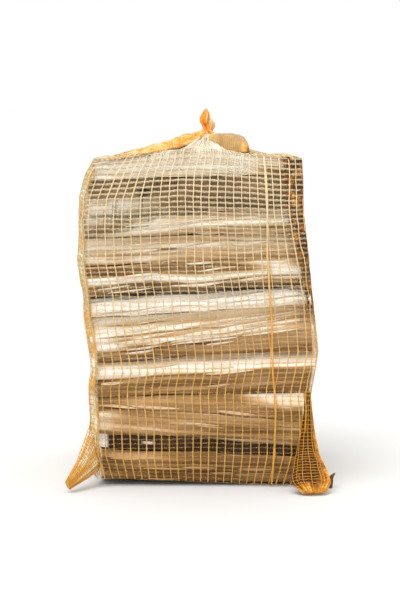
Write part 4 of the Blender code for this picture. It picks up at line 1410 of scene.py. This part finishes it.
class FIREWOOD_OT_gathers(bpy.types.Operator):
    """Fold the net up to the neck: the band on the left and the lobe on the right"""
    bl_idname = "firewood.gathers"
    bl_label = "Gathered folds"

    def execute(self, context):
        look = gathered_look(context.scene.firewood_colours)
        upper = curve_points(((-0.1300, -0.070, 0.4522), (-0.093, -0.058, 0.4606), (-0.069, -0.046, 0.4692),
                              (-0.045, -0.034, 0.4747), (-0.0206, -0.018, 0.4838), (0.004, -0.006, 0.4890)), 60)
        lower = curve_points(((-0.1290, -0.100, 0.4500), (-0.093, -0.1005, 0.4530), (-0.069, -0.098, 0.4578),
                              (-0.045, -0.086, 0.4625), (-0.0206, -0.060, 0.4680), (0.006, -0.020, 0.4790)), 60)
        rise = np.linspace(0, 1, 14)[:, None, None]
        band = lower[None] * (1 - rise) + upper[None] * rise
        run = np.linspace(0, 1, 60)[None, :]
        billow = np.sin(rise[..., 0] * math.pi) * 0.0030 * np.sin(run * math.pi)
        creases = 0.0018 * waves(run * 22, rise[..., 0] * 5 + run * 5, 81)
        band[..., 1] -= billow + creases
        band[..., 2] += (creases + 0.0012 * waves(run * 9, 0.5, 82)) * rise[..., 0]
        deep = 0.50 + 0.06 * run ** 2 - 0.34 * np.abs(waves(run * 24, rise[..., 0] * 6, 83))
        edge = np.minimum(rise[..., 0] / 0.35, run / 0.06) + 0.3 * waves(run * 40, rise[..., 0] * 3, 87)
        gathered_sheet("net_gather_left", band, deep, 0.5 + 1.2 * np.clip(1 - edge, 0, 1), look)

        # The lobe is a fold of the net that arches over and drops away behind
        edge = np.array(((0.0120, 0.4830, 0.4780), (0.0200, 0.4846, 0.4735), (0.0265, 0.4850, 0.4670),
                         (0.0340, 0.4850, 0.4612), (0.0440, 0.4848, 0.4603), (0.0540, 0.4836, 0.4600),
                         (0.0610, 0.4792, 0.4600), (0.0652, 0.4725, 0.4600), (0.0668, 0.4650, 0.4600)))
        line = curve_points(edge, 40)
        arch = np.linspace(0, 1, 22)[:, None]
        x = line[None, :, 0] + 0 * arch
        y = -0.078 + 0.092 * arch + 0.0035 * np.sin(x * 260) * arch
        y = y + (0.052 * np.clip((0.032 - x) / 0.020, 0, 1) - 0.008 * np.clip((x - 0.03) / 0.03, 0, 1)) * (1 - arch)
        z = line[None, :, 2] + (line[None, :, 1] - line[None, :, 2]) * np.sin(arch * math.pi) ** 0.45
        y = y + 0.0012 * waves(line[None, :, 0] * 420, arch * 3, 84)
        z = z + 0.0008 * waves(line[None, :, 0] * 300, arch * 4, 85) * np.sin(arch * math.pi)
        lobe = np.stack((x, y, z), axis=-1)
        front_edge = np.clip(1 - arch / 0.25, 0, 1)
        deep = 0.36 + 0.34 * np.clip((x - 0.058) / 0.006, 0, 1) * front_edge + 0.16 * waves(x * 600, 0.5, 86) \
            - 0.25 * np.clip((arch - 0.2) / 0.2, 0, 1)
        orange = np.maximum(np.clip((x - 0.053) / 0.008, 0, 1) * front_edge, np.clip((0.026 - x) / 0.010, 0, 1))
        see = 0.12 + 1.5 * np.clip((arch - 0.62) / 0.3 + 0.4 * waves(x * 300, arch * 9, 88), 0, 1)
        gathered_sheet("net_flap_right", lobe[::-1], deep[::-1], see[::-1], look,
                       grey=(0.85 * (1 - orange))[::-1])
        return {"FINISHED"}


class FIREWOOD_OT_ears(bpy.types.Operator):
    """Draw the sack's two bottom corners out into gathered ears"""
    bl_idname = "firewood.ears"
    bl_label = "Corner ears"

    def execute(self, context):
        sizes, colours = context.scene.firewood_sizes, context.scene.firewood_colours
        layered, look = gathered_look(colours), strand_look(colours)
        blank = log_blank(72, 60, 2)
        for name, centres, widths, depths, way, deep, see in (
            ("net_ear_left",
             ((-0.1440, -0.0970, 0.0590), (-0.1495, -0.1050, 0.0455), (-0.1590, -0.1175, 0.0310),
              (-0.1700, -0.1300, 0.0193), (-0.1795, -0.1400, 0.0105)),
             (0.0270, 0.0218, 0.0142, 0.0088, 0.0048), (0.0040, 0.0070, 0.0060, 0.0045, 0.0022),
             ((-0.20, 0, 0.98), (-0.29, 0, 0.96), (-0.40, 0, 0.92), (-0.50, 0, 0.87), (-0.45, 0, 0.90)),
             (0.10, 0.42), 0.95),
            # The right ear is painted brown with shade: its deep values run past 1
            ("net_ear_right",
             ((0.1470, -0.1020, 0.1320), (0.1468, -0.1060, 0.1000), (0.1462, -0.1095, 0.0720),
              (0.1465, -0.1160, 0.0510), (0.1485, -0.1280, 0.0340), (0.1500, -0.1430, 0.0175),
              (0.1530, -0.1550, 0.0036)),
             (0.0036, 0.0066, 0.0100, 0.0142, 0.0205, 0.0240, 0.0125),
             (0.0016, 0.0026, 0.0034, 0.0046, 0.0060, 0.0050, 0.0022),
             (1.0, 0.10, 0.0), (1.45, 1.00), 0.30),
        ):
            folds = 0.11 if name == "net_ear_left" else 0.17
            along = 61 if name == "net_ear_left" else 91
            grid, pleat = pouch_grid(centres, widths, depths, way, 6, folds, 1.5, 72, along, 5)
            grid[..., 2] = np.maximum(grid[..., 2], 0.0012)
            # Less painted shade on the right ear's outer side and at its foot
            if name == "net_ear_right":
                turn = np.arange(grid.shape[1]) / grid.shape[1] * 2 * math.pi
                down = np.linspace(0, 1, along)[:, None]
                pleat = pleat - 1.4 * np.clip(np.maximum((np.cos(turn)[None] - 0.35) / 0.6,
                                                         (down - 0.84) / 0.10), 0, 1)
            body = pouch(name + "_cloth", blank, grid, pleat, deep, see)
            finished(body, layered, smooth=70)
            closed = np.concatenate((grid, grid[:, :1]), axis=1)
            out = unit(np.cross(np.gradient(closed, axis=1), np.gradient(closed, axis=0)))
            middle = grid.mean(axis=1)[:, None]
            out = np.where(((closed - middle) * out).sum(axis=-1, keepdims=True) < 0, -out, out)
            lattice = closed + out * 0.0006
            lattice[..., 2] = np.maximum(lattice[..., 2], 0.0006)
            step = 1 if name == "net_ear_left" else 2
            some = knitting(lattice[:, :-1:step], out[:, :-1:step], sizes, 88, closed=True,
                            finer=0.34 + 0.03 * step)
            some[0][:, 2] = np.maximum(some[0][:, 2], 0.0)
            # The right ear's strands are painted brown with shade
            shade = 0.10 if name == "net_ear_left" else 1.12
            net_piece(name + "_knit", [(some[0], some[1], some[2] * 0.2, shade)], look, (name,))
        bpy.data.objects.remove(blank["object"])
        return {"FINISHED"}


class FIREWOOD_OT_knot(bpy.types.Operator):
    """Twist the gathered neck of the sack into its knot"""
    bl_idname = "firewood.knot"
    bl_label = "Neck knot"

    def execute(self, context):
        colours = context.scene.firewood_colours
        look = knot_look(colours)
        blank = log_blank(64, 60, 3)
        grid, pleat = pouch_grid(
            ((0.0092, 0.0020, 0.4780), (0.0090, 0.0020, 0.4845), (0.0082, 0.0030, 0.4905),
             (0.0072, 0.0035, 0.4960), (0.0060, 0.0035, 0.5020), (0.0064, 0.0035, 0.5080),
             (0.0076, 0.0035, 0.5140), (0.0083, 0.0035, 0.5197)),
            (0.0185, 0.0118, 0.0056, 0.0046, 0.0062, 0.0064, 0.0044, 0.0014),
            (0.0120, 0.0088, 0.0058, 0.0046, 0.0056, 0.0054, 0.0036, 0.0010),
            (1.0, 0.15, 0.0), 5, 0.22, 3.8, 64, 61, 7)
        knot = pouch("knot_gathered", blank, grid, pleat * 1.7, (0.40, 0.30), 0.0)
        grid, pleat = pouch_grid(
            ((0.0095, 0.0050, 0.4850), (0.0120, 0.0055, 0.4905), (0.0138, 0.0060, 0.4965),
             (0.0140, 0.0065, 0.5020), (0.0128, 0.0065, 0.5062)),
            (0.0040, 0.0054, 0.0064, 0.0060, 0.0022), (0.0036, 0.0042, 0.0044, 0.0038, 0.0014),
            (1.0, 0.2, -0.2), 4, 0.15, 2.6, 64, 61, 9)
        lobe = pouch("knot_lobe", blank, grid, pleat, (0.30, -0.22), 0.0)
        alone(knot)
        lobe.select_set(True)
        bpy.ops.object.join()
        finished(knot, look, ("neck_knot",), smooth=80)
        bpy.data.objects.remove(blank["object"])
        return {"FINISHED"}


class FIREWOOD_OT_flake(bpy.types.Operator):
    """Stand the loose curl of bark by the right-hand corner"""
    bl_idname = "firewood.flake"
    bl_label = "Bark curl"

    def execute(self, context):
        upright_bark("bark_curl", birch_look(context.scene.firewood_colours))
        return {"FINISHED"}


class FIREWOOD_PT_panel(bpy.types.Panel):
    """The bundle's pieces, sizes and colours"""
    bl_idname = "FIREWOOD_PT_panel"
    bl_label = "Firewood bundle"
    bl_space_type = "VIEW_3D"
    bl_region_type = "UI"
    bl_category = "Firewood"

    def draw(self, context):
        for operator in OPERATORS:
            self.layout.operator(operator.bl_idname)
        for group in (context.scene.firewood_sizes, context.scene.firewood_colours):
            box = self.layout.box()
            for name in group.__annotations__:
                box.prop(group, name)


OPERATORS = (
    FIREWOOD_OT_logs,
    FIREWOOD_OT_sack,
    FIREWOOD_OT_gathers,
    FIREWOOD_OT_ears,
    FIREWOOD_OT_knot,
    FIREWOOD_OT_flake,
    FIREWOOD_OT_stage,
)
CLASSES = (FirewoodSizes, FirewoodColours, *OPERATORS, FIREWOOD_PT_panel)


def register():
    for kind in CLASSES:
        bpy.utils.register_class(kind)
    bpy.types.Scene.firewood_sizes = PointerProperty(type=FirewoodSizes)
    bpy.types.Scene.firewood_colours = PointerProperty(type=FirewoodColours)


def unregister():
    del bpy.types.Scene.firewood_colours
    del bpy.types.Scene.firewood_sizes
    for kind in reversed(CLASSES):
        bpy.utils.unregister_class(kind)


def main():
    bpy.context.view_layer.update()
    register()
    bpy.ops.firewood.logs()
    bpy.ops.firewood.sack()
    bpy.ops.firewood.gathers()
    bpy.ops.firewood.ears()
    bpy.ops.firewood.knot()
    bpy.ops.firewood.flake()
    bpy.ops.firewood.stage()


if __name__ == "__main__":
    main()
